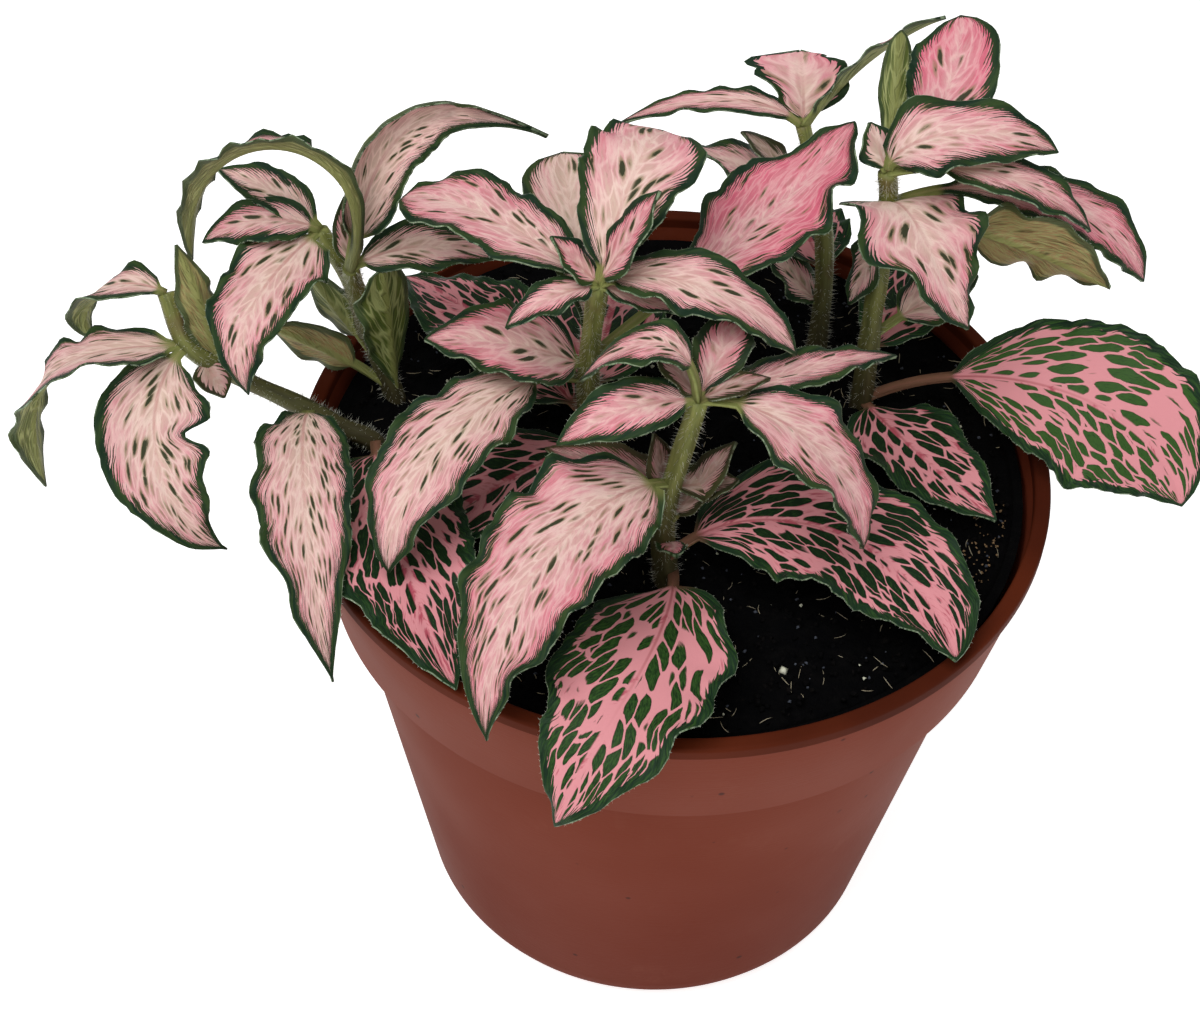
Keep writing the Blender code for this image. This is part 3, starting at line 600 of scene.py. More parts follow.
def young_leaf():
    """Pink and cream blade with green flecks between the veins, and a toothed green margin."""
    g = LeafGraph("young_leaf")
    streak = g.streaks(0.9, 0.5, 3.0, 0.55)
    fine = g.streaks(3.0, 1.5, 2.0, 0.7)
    patch = g.streaks(0.25, 0.12)
    grain = streak * 1.1 + fine * 0.45 + patch * 0.9

    outward = g.side * 0.8 + g.share * 0.45 + g.pink * 0.9 + grain * 0.8
    light = g.mix(g.step(outward, 1.25, 2.15), CREAM, LIGHT_PINK)
    blade = g.mix(g.step(outward, 1.8, 2.75), light, DEEP_PINK)

    place = g.net(0.36, 0.31)
    edge = g.cells(place, jitter=0.9, edge=True)
    distance, chance = g.cells(place, jitter=0.9)
    luck = g.parts(chance)[0]
    inside = g.step(g.side, 0.03, 0.14)
    vein = g.step(edge + (fine - 0.5) * 0.12, 0.02, 0.13, 0.6, 0.0)
    blade = g.mix(vein * g.step(outward, 1.3, 2.4, 1.0, 0.35), blade, PALE_VEIN)
    tint = g.step(edge - luck * 0.2, 0.0, 0.15)
    tinted = tint * inside * g.step(g.side, 0.55, 0.95, 0.42, 0.12)
    blade = g.mix(tinted * g.step(luck, 0.2, 0.6, 0.35, 1.0), blade, g.mix(g.pink, OLIVE, ROSE))
    blade = g.mix(g.step(fine, 0.5, 0.8) * 0.18, blade, ROSE)

    size = g.step(luck + g.dots * 0.6, 0.38, 1.12) * 0.44
    near = size - (distance + (fine - 0.5) * 0.24)
    halo = g.step(near, -0.1, 0.12)
    core = g.step(near, 0.06, 0.16)
    blade = g.mix(halo * inside * 0.68, blade, OLIVE)
    blade = g.mix(core * inside * 0.92, blade, DARK_FLECK)
    rib = g.step(g.middle, 0.12, 0.42, 1.0, 0.0)
    blade = g.mix(rib * g.step(g.share, 0.1, 0.6, 0.45, 0.1), blade, ROSE)

    band = 1.05 + g.teeth(0.5, 1.9) + (fine - 0.5) * 1.2 - g.margin
    green = g.mix(g.step(patch, 0.35, 0.7), MARGIN_GREEN, MARGIN_OLIVE)
    blade = g.mix(g.step(band, 0.0, 0.2), blade, green)
    rim = g.step(g.margin, 0.03, 0.08, 1.0, 0.0) * g.step(streak, 0.38, 0.6)
    blade = g.mix(rim * 0.7, blade, EDGE_PALE)
    blade = g.mix(g.step(g.share, 0.0, 0.04, 0.85, 0.0), blade, STALK_GREEN)
    # the leaf's own brown, darkened further as painted shade where the leaf lies deep in the plant
    brown_and_shade = g.uv("shade")[0] * g.step(streak, 0.25, 0.7, 1.0, 0.6)
    blade = g.mix(brown_and_shade, blade, SHADED_BROWN)

    g.bump(streak * 0.35 + fine * 0.25 + halo * 0.35, 0.00018)
    return g.finish(blade, g.step(fine, 0.2, 0.8, 0.48, 0.64), 0.14)


def old_leaf():
    """Dark green cells in a net of pink veins, with a plain green margin."""
    g = LeafGraph("old_leaf")
    place = g.net(0.25, 0.22, 0.5)
    edge = g.cells(place, jitter=0.6, edge=True)
    distance, chance = g.cells(place, jitter=0.6)
    luck = g.parts(chance)[0]
    fine = g.streaks(2.4, 0.9, 3.0, 0.65)
    streak = g.streaks(1.2, 0.3, 3.0, 0.6)
    width = 0.03 + g.pink * 0.06 + g.step(g.side, 0.0, 0.6, 0.03, 0.0) + (fine - 0.5) * 0.045
    roundness = g.step(luck, 0.0, 1.0, 0.5, 0.66) - distance
    inner = g.math("SMOOTH_MIN", edge - width, roundness * 0.8, 0.1)
    rib = g.step(g.middle, 0.45, 0.75, 1.0, 0.0)
    cell = g.step(inner, -0.03, 0.0) * (1.0 - rib)

    light = streak + edge * -1.2 + g.step(g.dots, 0.5, 1.0, 0.0, 0.25)
    veins = g.mix(g.step(light, 0.12, 0.42), NET_PINK, NET_LIGHT)
    centre = g.step(g.middle, 0.05, 0.35, 1.0, 0.0) * g.step(g.share, 0.1, 0.7, 0.7, 0.0)
    veins = g.mix(centre, veins, ROSE)
    lightness = fine + g.step(g.dots, 0.5, 1.0, 0.0, 0.3)
    blade = g.mix(cell, veins, g.mix(g.step(lightness, 0.45, 0.85), CELL_GREEN, CELL_LIGHT))

    band = 1.15 + g.teeth(0.8, 1.2) + (streak - 0.5) * 1.0 - g.margin
    green = g.mix(g.step(streak, 0.4, 0.8), MARGIN_GREEN, CELL_LIGHT)
    blade = g.mix(g.step(band, 0.0, 0.16), blade, green)
    rim = g.step(g.margin, 0.03, 0.07, 1.0, 0.0) * g.step(fine, 0.35, 0.6)
    blade = g.mix(rim * 0.7, blade, EDGE_PALE)
    blade = g.mix(g.step(g.share, -0.01, 0.03, 0.9, 0.0), blade, STALK_PINK)

    g.bump(cell * 0.7 + fine * 0.3, 0.0002)
    return g.finish(blade, g.step(fine, 0.2, 0.8, 0.42, 0.58), 0.14)


def leaf_underside():
    """Olive underside with a pale net of veins."""
    g = LeafGraph("leaf_underside")
    edge = g.cells(g.net(0.36, 0.2), jitter=0.85, edge=True)
    fine = g.streaks(2.4, 0.7, 3.0, 0.65)
    streak = g.streaks(1.5, 0.2, 3.0, 0.6)
    cell = g.step(edge - (0.06 + (fine - 0.5) * 0.12), -0.04, 0.1)
    ground = g.mix(g.step(streak, 0.3, 0.7), UNDER_OLIVE, UNDER_DARK)
    green_side = g.mix(cell, UNDER_VEIN, ground)
    fleck = g.step(edge, 0.12, 0.3) * g.step(streak, 0.42, 0.6)
    pink_side = g.mix(fleck, g.mix(g.step(fine, 0.3, 0.7), UNDER_PINK, UNDER_VEIN), UNDER_FLECK)
    blade = g.mix(g.step(g.pink + streak * 0.25, 0.4, 0.75), green_side, pink_side)
    blade = g.mix(g.step(g.middle, 0.4, 0.8, 1.0, 0.0) * 0.8, blade, STALK_GREEN)
    band = 0.75 + streak * 0.8 - g.margin
    blade = g.mix(g.step(band, 0.0, 0.4) * 0.85, blade, MARGIN_OLIVE)
    blade = g.mix(g.step(g.share, -0.01, 0.03, 0.9, 0.0), blade, STALK_GREEN)
    g.bump(cell * -0.7 + fine * 0.3, 0.0002)
    return g.finish(blade, 0.55, 0.35)


def stem_skin():
    """Yellow-green skin with darker streaks, and painted shade that makes it darker and browner towards
    the soil, where the leaves above shade it.
    """
    g = Graph("stem_skin")
    along, round_stem = g.uv("stem")
    streak = g.noise(g.join(round_stem * 9.0, along * 0.12), 1.0, 3.0, 0.6)
    blotch = g.noise(g.place(), 160.0, 2.0)
    skin = g.mix(g.step(streak, 0.35, 0.7), linear(138, 142, 76), linear(96, 102, 46))
    skin = g.mix(g.step(blotch, 0.52, 0.75, 0.0, 0.5), skin, linear(104, 76, 52))
    height = g.parts(g.place())[2]
    # painted shade: the stem darkens and browns towards the soil, where the leaves above shade it
    low = g.step(height, SOIL_SURFACE * MM, (SOIL_SURFACE + SHADED_STEM) * MM, 0.92, 0.0)
    skin = g.mix(low, skin, linear(46, 36, 20))
    g.bump(streak, 0.0002)
    return g.finish(skin, 0.55, 0.4)


def hair_skin():
    """Pale hairs."""
    g = Graph("hair_skin")
    tint = g.noise(g.place(), 900.0)
    return g.finish(g.mix(tint, linear(214, 216, 196), linear(240, 240, 230)), 0.6, 0.3)


def pot_plastic():
    """Matte terracotta-brown plastic with a warmer lip, specks of dust, faint turning marks and painted
    shade darkening it towards the foot.
    """
    g = Graph("pot_plastic")
    place = g.place()
    x, y, z = g.parts(place)
    cloud = g.noise(place, 26.0, 3.0)
    grit = g.noise(place, 900.0, 2.0)
    # painted shade: the body darkens towards the pot's foot
    painted_shade_low = g.step(z, 0.0, 0.085, 1.0, 0.0)
    body = g.mix(painted_shade_low * 0.65 + (cloud - 0.5) * 0.8, linear(111, 49, 31), linear(92, 34, 19))
    dust = g.noise(g.join(x, y, z * 0.7), 75.0, 5.0, 0.7)
    body = g.mix(g.step(dust, 0.58, 0.8, 0.0, 0.3), body, linear(124, 70, 54))
    distance, chance = g.cells(place, 240.0)
    speck = g.step(distance, 0.08, 0.16, 1.0, 0.0) * g.step(g.parts(chance)[0], 0.86, 0.9)
    body = g.mix(speck * 0.75, body, linear(40, 18, 14))
    radius = g.math("SQRT", x * x + y * y)
    fade = [(RIM_RADIUS - inset) * MM for inset in LIP_COLOUR]
    lip = g.step(z, (LIP_FOOT - LIP_COLOUR_RISE) * MM, LIP_FOOT * MM) * g.step(radius, *fade)
    lip_colour = g.mix(g.step(cloud, 0.35, 0.65), linear(88, 36, 18), linear(62, 22, 10))
    body = g.mix(lip, body, lip_colour)
    rings = g.noise(g.join(0.0, 0.0, z), 2600.0, 1.0)
    g.bump(rings * 0.5 + grit * 0.5, 6e-05)
    return g.finish(body, g.step(cloud, 0.3, 0.7, 0.55, 0.65), 0.04)


def peat(name, low, high):
    """Damp, near-black peat."""
    g = Graph(name)
    place = g.place()
    lump = g.noise(place, 420.0, 5.0, 0.7)
    g.bump(g.noise(place, 900.0, 4.0, 0.7), 0.0006)
    return g.finish(g.mix(g.step(lump, 0.4, 0.8), low, high), g.step(lump, 0.3, 0.7, 0.75, 0.95), 0.06)


def pale_bits(name, low, high):
    """Dry, pale bits in the soil."""
    g = Graph(name)
    return g.finish(g.mix(g.noise(g.place(), 700.0, 3.0), low, high), 0.85, 0.2)


# ---- leaves
def blade_axes(leaf):
    """Give the direction from root to tip, the up side of the blade and the sideways direction."""
    line = unit(np.subtract(leaf.tip, leaf.root).astype(float))
    up = unit(UP - UP @ line * line)
    side = np.cross(line, up)
    turn = radians(leaf.roll)
    rolled = cos(turn) * up + sin(turn) * side
    return line, up, rolled, np.cross(line, rolled)


def midrib_curve(leaf, steps):
    """Give shares, points and directions along the midrib, and the way that the blade faces."""
    line, up, rolled, side = blade_axes(leaf)
    root = np.array(leaf.root, float)
    tip = np.array(leaf.tip, float)
    reach = leaf.stiffness * np.linalg.norm(tip - root)
    rise, droop, sweep = radians(leaf.rise), radians(leaf.droop), radians(leaf.sweep)
    bow = cos(sweep) * line, sin(sweep) * side
    first = root + reach * (cos(rise) * (bow[0] + bow[1]) + sin(rise) * up)
    last = tip - reach * (cos(droop) * (bow[0] - bow[1]) - sin(droop) * up)
    u = np.linspace(0, 1, steps + 1)[:, None]
    v = 1 - u
    points = v ** 3 * root + 3 * v ** 2 * u * first + 3 * v * u ** 2 * last + u ** 3 * tip
    along = v ** 2 * (first - root) + 2 * v * u * (last - first) + u ** 2 * (tip - last)
    return u[:, 0], points, along / np.linalg.norm(along, axis=1)[:, None], rolled


def half_width(leaf, u):
    """Give half the blade's width at each share of the midrib: an egg-shaped leaf with a point."""
    near, far = leaf.belly
    share = np.clip((u - leaf.petiole) / (1 - leaf.petiole), 0, 1)
    widest = near / (near + far)
    height = widest ** near * (1 - widest) ** far
    blade = share ** near * (1 - share) ** far / height * leaf.width / 2
    bare = np.where(u < 0.8, PETIOLE_HALF_WIDTH, TIP_HALF_WIDTH)
    return np.maximum(blade, bare)


def blade_form(leaf, phase, dice):
    """Give a blade's middle surface as rows of points, with each point's up direction and its values."""
    length = np.linalg.norm(np.subtract(leaf.tip, leaf.root)) * MIDRIB_SLACK
    rows = max(FEWEST_ROWS, round(length / ROW_LENGTH))
    columns = 2 * max(FEWEST_COLUMNS, round(leaf.width / COLUMN_WIDTH))
    u, points, along, rolled = midrib_curve(leaf, rows)
    length = np.linalg.norm(np.diff(points, axis=0), axis=1).sum()
    even = np.linspace(-1, 1, columns + 1)
    across = even * (1 + CROWDING - CROWDING * even ** 2)
    left = across < 0
    spread = np.abs(across)

    base = half_width(leaf, u)
    blade = np.clip((base - PETIOLE_HALF_WIDTH) / 2, 0, 1)
    reach = u * length
    outlines = []
    frills = []
    for left_side in (True, False):
        lobes = leaf.lobes * uneven(dice, *LOBES_PER_MM)(reach)
        nicks = NICK_DEPTH * uneven(dice, *NICKS_PER_MM)(reach)
        outline = 1 + blade * (lobes + nicks)
        for share, side_sign, depth, run in leaf.bites:
            if (side_sign < 0) == left_side:
                outline -= depth * np.exp(-((u - share) / run) ** 2)
        outlines.append(outline)
        frills.append(leaf.frill * blade * uneven(dice, *FRILLS_PER_MM)(reach))
    folds = FOLD_PER_CUP * leaf.cup + np.where(left, leaf.curl[0], leaf.curl[1])
    shape = []
    lifts = []
    for i in range(rows + 1):
        up = unit(rolled - rolled @ along[i] * along[i])
        side = np.cross(along[i], up)
        twist = radians(leaf.twist * u[i])
        up, side = cos(twist) * up + sin(twist) * side, cos(twist) * side - sin(twist) * up
        width = base[i] * np.where(left, outlines[0][i], outlines[1][i])
        out = np.sin(across * folds) / folds * width
        lift = (1 - np.cos(across * folds)) / folds * width
        turn = 2 * pi * WAVES_PER_LEAF * u[i] + phase + WAVE_OFFSET * np.sign(across)
        ripple = np.sin(turn) * across ** 2
        lift = lift + ripple * WAVE_HEIGHT * 2 * width
        lift = lift + np.where(left, frills[0][i], frills[1][i]) * spread ** 3
        lift = lift - GROOVE_DEPTH * np.exp(-(out / GROOVE_HALF_WIDTH) ** 2) * blade[i]
        shape.append(points[i] + out[:, None] * side + lift[:, None] * up)
        lifts.append(np.tile(up, (columns + 1, 1)))
    return np.array(shape), np.array(lifts), u, across, base, length


def surface_normals(grid):
    """Give the normal at each point of a grid of points."""
    down = np.gradient(grid, axis=0)
    over = np.gradient(grid, axis=1)
    normal = np.cross(down, over)
    return normal / np.maximum(np.linalg.norm(normal, axis=2), 1e-9)[:, :, None]


def leaf_maps(leaf, number, u, across, base, length):
    """Give the values that the leaf materials read at each point."""
    share, side = np.meshgrid(u, across, indexing="ij")
    spread = np.abs(side)
    along = (share - VEIN_LEAN[leaf.old] * spread ** 1.2) * length + PATTERN_STEP * number
    out = side * VEIN_REACH * length
    band = np.minimum(MARGIN_BAND, 0.12 * leaf.width + 0.25) * (0.35 + 0.65 * np.clip(base / 4, 0, 1))
    margin = (1 - spread) * base[:, None] / band[:, None]
    middle = spread * base[:, None]
    picture = np.stack([0.02 + 0.46 * (side + 1) / 2, 0.02 + 0.96 * share], -1)
    return {
        "OFBake": picture.reshape(-1, 2),
        "veins": np.stack([along, out], -1).reshape(-1, 2),
        "blade": np.stack([side, (share - leaf.petiole) / (1 - leaf.petiole)], -1).reshape(-1, 2),
        "edge": np.stack([margin, middle], -1).reshape(-1, 2),
        "tone": np.array([leaf.pink, leaf.dots]),
        "shade": np.array([leaf.brown_and_shade, 0]),
    }


def grid_faces(rows, columns, flip=False):
    """Give the faces of a grid of points."""
    faces = []
    for i in range(rows - 1):
        for j in range(columns - 1):
            a = i * columns + j
            b = a + columns
            face = (a, b, b + 1, a + 1)
            faces.append(face[::-1] if flip else face)
    return faces


def rim_faces(rows, columns):
    """Give the faces that join the top and the underside round their margin."""
    ring = [i * columns for i in range(rows)]
    ring += [(rows - 1) * columns + j for j in range(1, columns)]
    ring += [i * columns + columns - 1 for i in range(rows - 2, -1, -1)]
    ring += [j for j in range(columns - 2, 0, -1)]
    under = rows * columns
    pairs = zip(ring, ring[1:] + ring[:1])
    return [(a, a + under, b + under, b) for a, b in pairs], ring


def add_hair(shape, foot, direction, length, radius, slot, **maps):
    """Add one tapered hair."""
    direction = unit(direction)
    side = unit(np.cross(direction, [0.37, 0.61, 0.7]))
    other = np.cross(direction, side)
    angles = [2 * pi * i / HAIR_SIDES for i in range(HAIR_SIDES)]
    ring = [foot + radius * (cos(a) * side + sin(a) * other) for a in angles]
    tip = foot + direction * length
    faces = [(i, (i + 1) % HAIR_SIDES, HAIR_SIDES) for i in range(HAIR_SIDES)]
    faces.append(tuple(range(HAIR_SIDES))[::-1])
    shape.add([*ring, tip], faces, slot, **maps)


def make_leaf(name, leaf, number, phase, materials):
    """Make one leaf: a thin blade with its own top and underside, and hairs round its margin."""
    dice = random.Random(name)
    grid, lifts, u, across, base, length = blade_form(leaf, phase, dice)
    rows, columns = grid.shape[:2]
    normals = surface_normals(grid)
    if (normals * lifts).sum() < 0:
        normals = -normals
    spread = np.abs(across)[None, :]
    half = (MARGIN_THICKNESS + (BLADE_THICKNESS - MARGIN_THICKNESS) * (1 - spread ** 4)) / 2
    middle = spread * base[:, None]
    rib = PETIOLE_DEPTH * (1 - RIB_TAPER * u[:, None]) * np.exp(-(middle / RIB_HALF_WIDTH) ** 2)
    top = grid + normals * half[..., None]
    under = grid - normals * (half + rib)[..., None]
    count = rows * columns
    maps = {title: np.tile(np.broadcast_to(values, (count, 2)), (2, 1))
            for title, values in leaf_maps(leaf, number, u, across, base, length).items()}
    maps["OFBake"][count:, 0] += 0.5
    flip = bool((np.cross(grid[1, 0] - grid[0, 0], grid[0, 1] - grid[0, 0]) * normals[0, 0]).sum() < 0)
    shape = Shape()
    shape.add(np.stack([top, under]), grid_faces(rows, columns, flip), **maps)
    shape.add_faces(grid_faces(rows, columns, not flip), 1, count)
    rim, ring = rim_faces(rows, columns)
    shape.add_faces([face[::-1] for face in rim] if flip else rim, 0)
    flat = grid.reshape(-1, 3)
    inward = (grid - grid[:, columns // 2][:, None]).reshape(-1, 3)
    for i in ring:
        if base[i // columns] < HAIRLESS_HALF_WIDTH:
            continue
        for _ in range(HAIRS_PER_POINT):
            jitter = np.array([dice.uniform(-1, 1) for _ in range(3)])
            outward = unit(inward[i] + 1e-6) + 0.8 * jitter
            foot = flat[i] - 0.1 * unit(outward)
            hair = dice.uniform(*LEAF_HAIR_LENGTH)
            add_hair(shape, foot, outward, hair, LEAF_HAIR_RADIUS, 2, tone=(0, 0), OFBake=(0.49, 0.5))
    return shape.mesh(name, materials)


# ---- stems
def smooth_path(points, count):
    """Give evenly spread points of a smooth curve through the given ones."""
    knots = np.array(points, float)
    ends = np.vstack([2 * knots[0] - knots[1], knots, 2 * knots[-1] - knots[-2]])
    path = []
    for step in np.linspace(0, len(knots) - 1, count):
        i = min(int(step), len(knots) - 2)
        t = step - i
        a, b, c, d = ends[i:i + 4]
        path.append(0.5 * (2 * b + (c - a) * t + (2 * a - 5 * b + 4 * c - d) * t ** 2
                           + (3 * b - a - 3 * c + d) * t ** 3))
    return np.array(path)


def add_stem(shape, points, foot_radius, crown_radius, dice):
    """Add a slightly ridged, tapered stem with its hairs."""
    rings, sides = STEM_RINGS, STEM_SIDES
    path = smooth_path(points, rings)
    along = np.gradient(path, axis=0)
    along /= np.linalg.norm(along, axis=1)[:, None]
    lengths = np.concatenate([[0], np.cumsum(np.linalg.norm(np.diff(path, axis=0), axis=1))])
    lumps = uneven(dice, *STEM_LUMPS_PER_MM)
    corners = []
    maps = []
    frames = []
    for i, (point, direction) in enumerate(zip(path, along)):
        share = i / (rings - 1)
        side = unit(np.cross(direction, [0.0, 1.0, 0.02]))
        other = np.cross(direction, side)
        radius = foot_radius + share * (crown_radius - foot_radius)
        radius *= 1 + STEM_RELIEF * lumps(lengths[i])
        frames.append((point, side, other, radius, direction))
        for j in range(sides):
            angle = 2 * pi * j / sides
            r = radius * (1 + STEM_RELIEF * cos(STEM_RIDGES * angle))
            corners.append(point + r * (cos(angle) * side + sin(angle) * other))
            maps.append((lengths[i], j / sides))
    shape.add(corners, tube_faces(rings, sides), 0, stem=maps)
    for _ in range(round(lengths[-1] * STEM_HAIRS_PER_MM)):
        place = dice.uniform(0, rings - 1.001)
        i = int(place)
        point, side, other, radius, direction = frames[i]
        point = point + (place - i) * (path[i + 1] - path[i])
        if point[2] < SOIL_SURFACE:
            continue
        angle = dice.uniform(0, 2 * pi)
        outward = cos(angle) * side + sin(angle) * other
        lean = outward + direction * dice.uniform(*STEM_HAIR_LEAN)
        foot = point + outward * radius * 0.93
        add_hair(shape, foot, lean, dice.uniform(*STEM_HAIR_LENGTH), STEM_HAIR_RADIUS, 1, stem=(0, 0))


def make_shoots():
    """Make every stem and leaf, each riding on the plant and standing for its shoot."""
    top = {False: young_leaf(), True: old_leaf()}
    under = leaf_underside()
    skin = stem_skin()
    hair = hair_skin()
    number = 0
    for name, shoot in SHOOTS.items():
        phases = random.Random(name)
        dice = random.Random(f"{name} stem")
        stems = Shape()
        for points in shoot.stems:
            add_stem(stems, points, shoot.foot_radius, shoot.crown_radius, dice)
        add_piece(f"{name}_stem", stems.mesh(f"{name}_stem", [skin, hair]), "foliage", name)
        for i, leaf in enumerate(shoot.leaves):
            phase = phases.uniform(0, 2 * pi)
            title = f"{name}_leaf_{i}"
            mesh = make_leaf(title, leaf, number, phase, [top[leaf.old], under, hair])
            add_piece(title, mesh, "foliage", name)
            number += 1


# ---- soil
def peat_height(x, y):
    """Height of the soil's lumps above its flat top, in millimetres."""
    return (0.9 * np.sin(0.31 * x + 1.3 * np.sin(0.23 * y)) * np.cos(0.27 * y + np.sin(0.19 * x))
            + 0.5 * np.sin(0.93 * x + 2.0) * np.cos(1.07 * y + 0.6)
            + 0.25 * np.sin(2.3 * x + 1.4 * y) * np.sin(1.9 * y - 1.1 * x))


def make_soil_surface():
    """Lay a lumpy sheet of peat on the soil, closed below so that it is a solid."""
    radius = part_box("soil")[1].x / MM - PEAT_INSET
    rings, sides = PEAT_RINGS, PEAT_SIDES
    dice = random.Random("peat")
    corners = [(0, 0, SOIL_SURFACE + 0.8)]
    for i in range(1, rings + 1):
        r = radius * i / rings
        for j in range(sides):
            x, y = around(r, 2 * pi * j / sides)
            edge = np.clip((radius - r) / PEAT_EDGE, 0, 1)
            z = SOIL_SURFACE + 0.1 + (PEAT_RISE + peat_height(x, y) + dice.uniform(-0.25, 0.25)) * edge
            corners.append((x, y, max(z, SOIL_SURFACE + 0.05)))
    faces = [(0, 1 + j, 1 + (j + 1) % sides) for j in range(sides)]
    for i in range(rings - 1):
        for j in range(sides):
            a = 1 + i * sides + j
            b = 1 + i * sides + (j + 1) % sides
            faces.append((a, a + sides, b + sides, b))
    last = 1 + (rings - 1) * sides
    foot = len(corners)
    corners += [(x, y, SOIL_SURFACE - 0.5) for x, y, _ in corners[last:last + sides]]
    for j in range(sides):
        a = last + j
        b = last + (j + 1) % sides
        faces.append((a, foot + j, foot + (j + 1) % sides, b))
    faces.append(tuple(foot + j for j in range(sides))[::-1])
    shape = Shape()
    shape.add(corners, faces)
    mesh = shape.mesh("soil_surface", [peat("peat_top", linear(1, 1, 2), linear(11, 10, 10))])
    add_piece("soil_surface", mesh, "soil")


def add_crumb(shape, centre, size, dice, slot=0):
    """Add a small angular crumb: a squashed eight-sided lump."""
    turn = dice.uniform(0, pi)
    corners = []
    for i in range(4):
        angle = turn + i * pi / 2 + dice.uniform(-0.4, 0.4)
        r = size * dice.uniform(0.6, 1.0)
        corners.append(centre + np.array([*around(r, angle), size * dice.uniform(-0.3, 0.3)]))
    corners.append(centre + np.array([0, 0, size * dice.uniform(0.5, 0.9)]))
    corners.append(centre - np.array([0, 0, size * 0.6]))
    faces = [(i, (i + 1) % 4, 4) for i in range(4)] + [((i + 1) % 4, i, 5) for i in range(4)]
    shape.add(corners, faces, slot)


def add_fibre(shape, centre, length, radius, dice, slot):
    """Add a thin bent fibre that lies on the soil."""
    heading = dice.uniform(0, 2 * pi)
    bend = dice.uniform(-1.2, 1.2)
    count = 6
    point = np.array(centre, float)
    path = []
    for i in range(count):
        path.append(point.copy())
        heading += bend / count
        point += length / count * np.array([*around(1, heading), dice.uniform(-0.15, 0.2)])
    corners = []
    for i, point in enumerate(path):
        side = np.array([-sin(heading), cos(heading), 0])
        r = radius * (0.4 if i in (0, count - 1) else 1)
        corners += [point + r * side, point + r * UP, point - r * side]
    shape.add(corners, tube_faces(count, 3), slot)


def make_soil_bits():
    """Scatter crumbs, fibres and a few pale bits on the soil."""
    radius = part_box("soil")[1].x / MM - BITS_INSET
    dice = random.Random("bits")
    shape = Shape()
    dark = peat("peat_crumbs", linear(3, 3, 4), linear(22, 19, 18))
    straw = pale_bits("straw", linear(120, 108, 84), linear(196, 186, 160))
    perlite = pale_bits("perlite", linear(176, 178, 150), linear(222, 222, 204))
    grit = pale_bits("grit", linear(38, 42, 52), linear(84, 88, 98))
    dust = pale_bits("dust", linear(96, 74, 52), linear(150, 122, 88))
    for i in range(SOIL_BITS):
        x, y = around(radius * dice.random() ** 0.5, dice.uniform(0, 2 * pi))
        place = np.array([x, y, SOIL_SURFACE + PEAT_RISE + peat_height(x, y)])
        if i % FIBRE_EVERY == 0:
            add_fibre(shape, place + 0.3 * UP, dice.uniform(0.8, 3.6), dice.uniform(0.04, 0.08), dice, 1)
        elif i % PERLITE_EVERY == 0:
            add_crumb(shape, place, dice.uniform(0.25, 0.6), dice, 2)
        elif i % GRIT_EVERY == 0:
            add_crumb(shape, place + 0.2 * UP, dice.uniform(0.2, 0.5), dice, 3)
        else:
            add_crumb(shape, place, dice.uniform(0.25, 0.95), dice)
    add_crumb(shape, np.array([*WHITE_CRUMB, SOIL_SURFACE + 1.2]), 1.1, dice, 2)
    for _ in range(DUST_CRUMBS):
        x, y = around(radius * dice.uniform(0.9, 1.0), dice.uniform(*DUSTY_RIM))
        place = np.array([x, y, SOIL_SURFACE + 0.7])
        add_crumb(shape, place, dice.uniform(0.15, 0.4), dice, 4)
    mesh = shape.mesh("soil_bits", [dark, straw, perlite, grit, dust])
    add_piece("soil_bits", mesh, "soil")


# ---- pot, in millimetres
def wall_radius(height):
    """Outer radius of the pot at a height."""
    if height >= COLLAR_FOOT:
        share = (height - COLLAR_FOOT) / (POT_HEIGHT - COLLAR_FOOT)
        return COLLAR_FOOT_RADIUS + share * (RIM_RADIUS - COLLAR_FOOT_RADIUS)
    top = COLLAR_FOOT_RADIUS - STEP_DEPTH
    return BASE_RADIUS + height / COLLAR_FOOT * (top - BASE_RADIUS)


def arc(centre_x, centre_z, radius, start, end, steps=5):
    """Give points of an arc in the XZ plane, with angles in degrees."""
    angles = [radians(start + (end - start) * i / steps) for i in range(steps + 1)]
    return [(centre_x + radius * cos(a), centre_z + radius * sin(a)) for a in angles]


def pot_profile():
    """Give the pot's section, from the middle of its floor up the inside and down the outside."""
    inside = [
        (0, FLOOR),
        (BASE_RADIUS - BASE_ROUND, FLOOR),
        (wall_radius(BASE_ROUND) - WALL, INNER_WALL_FOOT),
        (wall_radius(COLLAR_FOOT - INNER_STEP_FOOT) - WALL, COLLAR_FOOT - INNER_STEP_FOOT),
        (COLLAR_FOOT_RADIUS - WALL, COLLAR_FOOT + STEP_SLOPE),
        (wall_radius(LIP_FOOT) - WALL - LIP_SHOULDER[0], LIP_FOOT - LIP_SHOULDER[1]),
    ]
    lip = arc(RIM_RADIUS - LIP_WIDTH + LIP_ROUND, POT_HEIGHT - LIP_ROUND, LIP_ROUND, 180, 90)
    lip += arc(RIM_RADIUS - LIP_ROUND, POT_HEIGHT - LIP_ROUND, LIP_ROUND, 90, 0)
    fillet_depth, fillet_height = LIP_FILLET
    outside = [
        (RIM_RADIUS, LIP_FOOT),
        (wall_radius(LIP_FOOT) - fillet_depth * 2 / 3, LIP_FOOT - fillet_height / 3),
        (wall_radius(LIP_FOOT) - fillet_depth, LIP_FOOT - fillet_height),
        (COLLAR_FOOT_RADIUS, COLLAR_FOOT + COLLAR_CHAMFER[1]),
        (COLLAR_FOOT_RADIUS - COLLAR_CHAMFER[0], COLLAR_FOOT),
        (COLLAR_FOOT_RADIUS - STEP_DEPTH, COLLAR_FOOT - STEP_SLOPE),
    ]
    rounding = arc(BASE_RADIUS - BASE_ROUND, BASE_ROUND, BASE_ROUND, 0, -90)
    return inside + lip + outside + rounding + [(0, 0)]


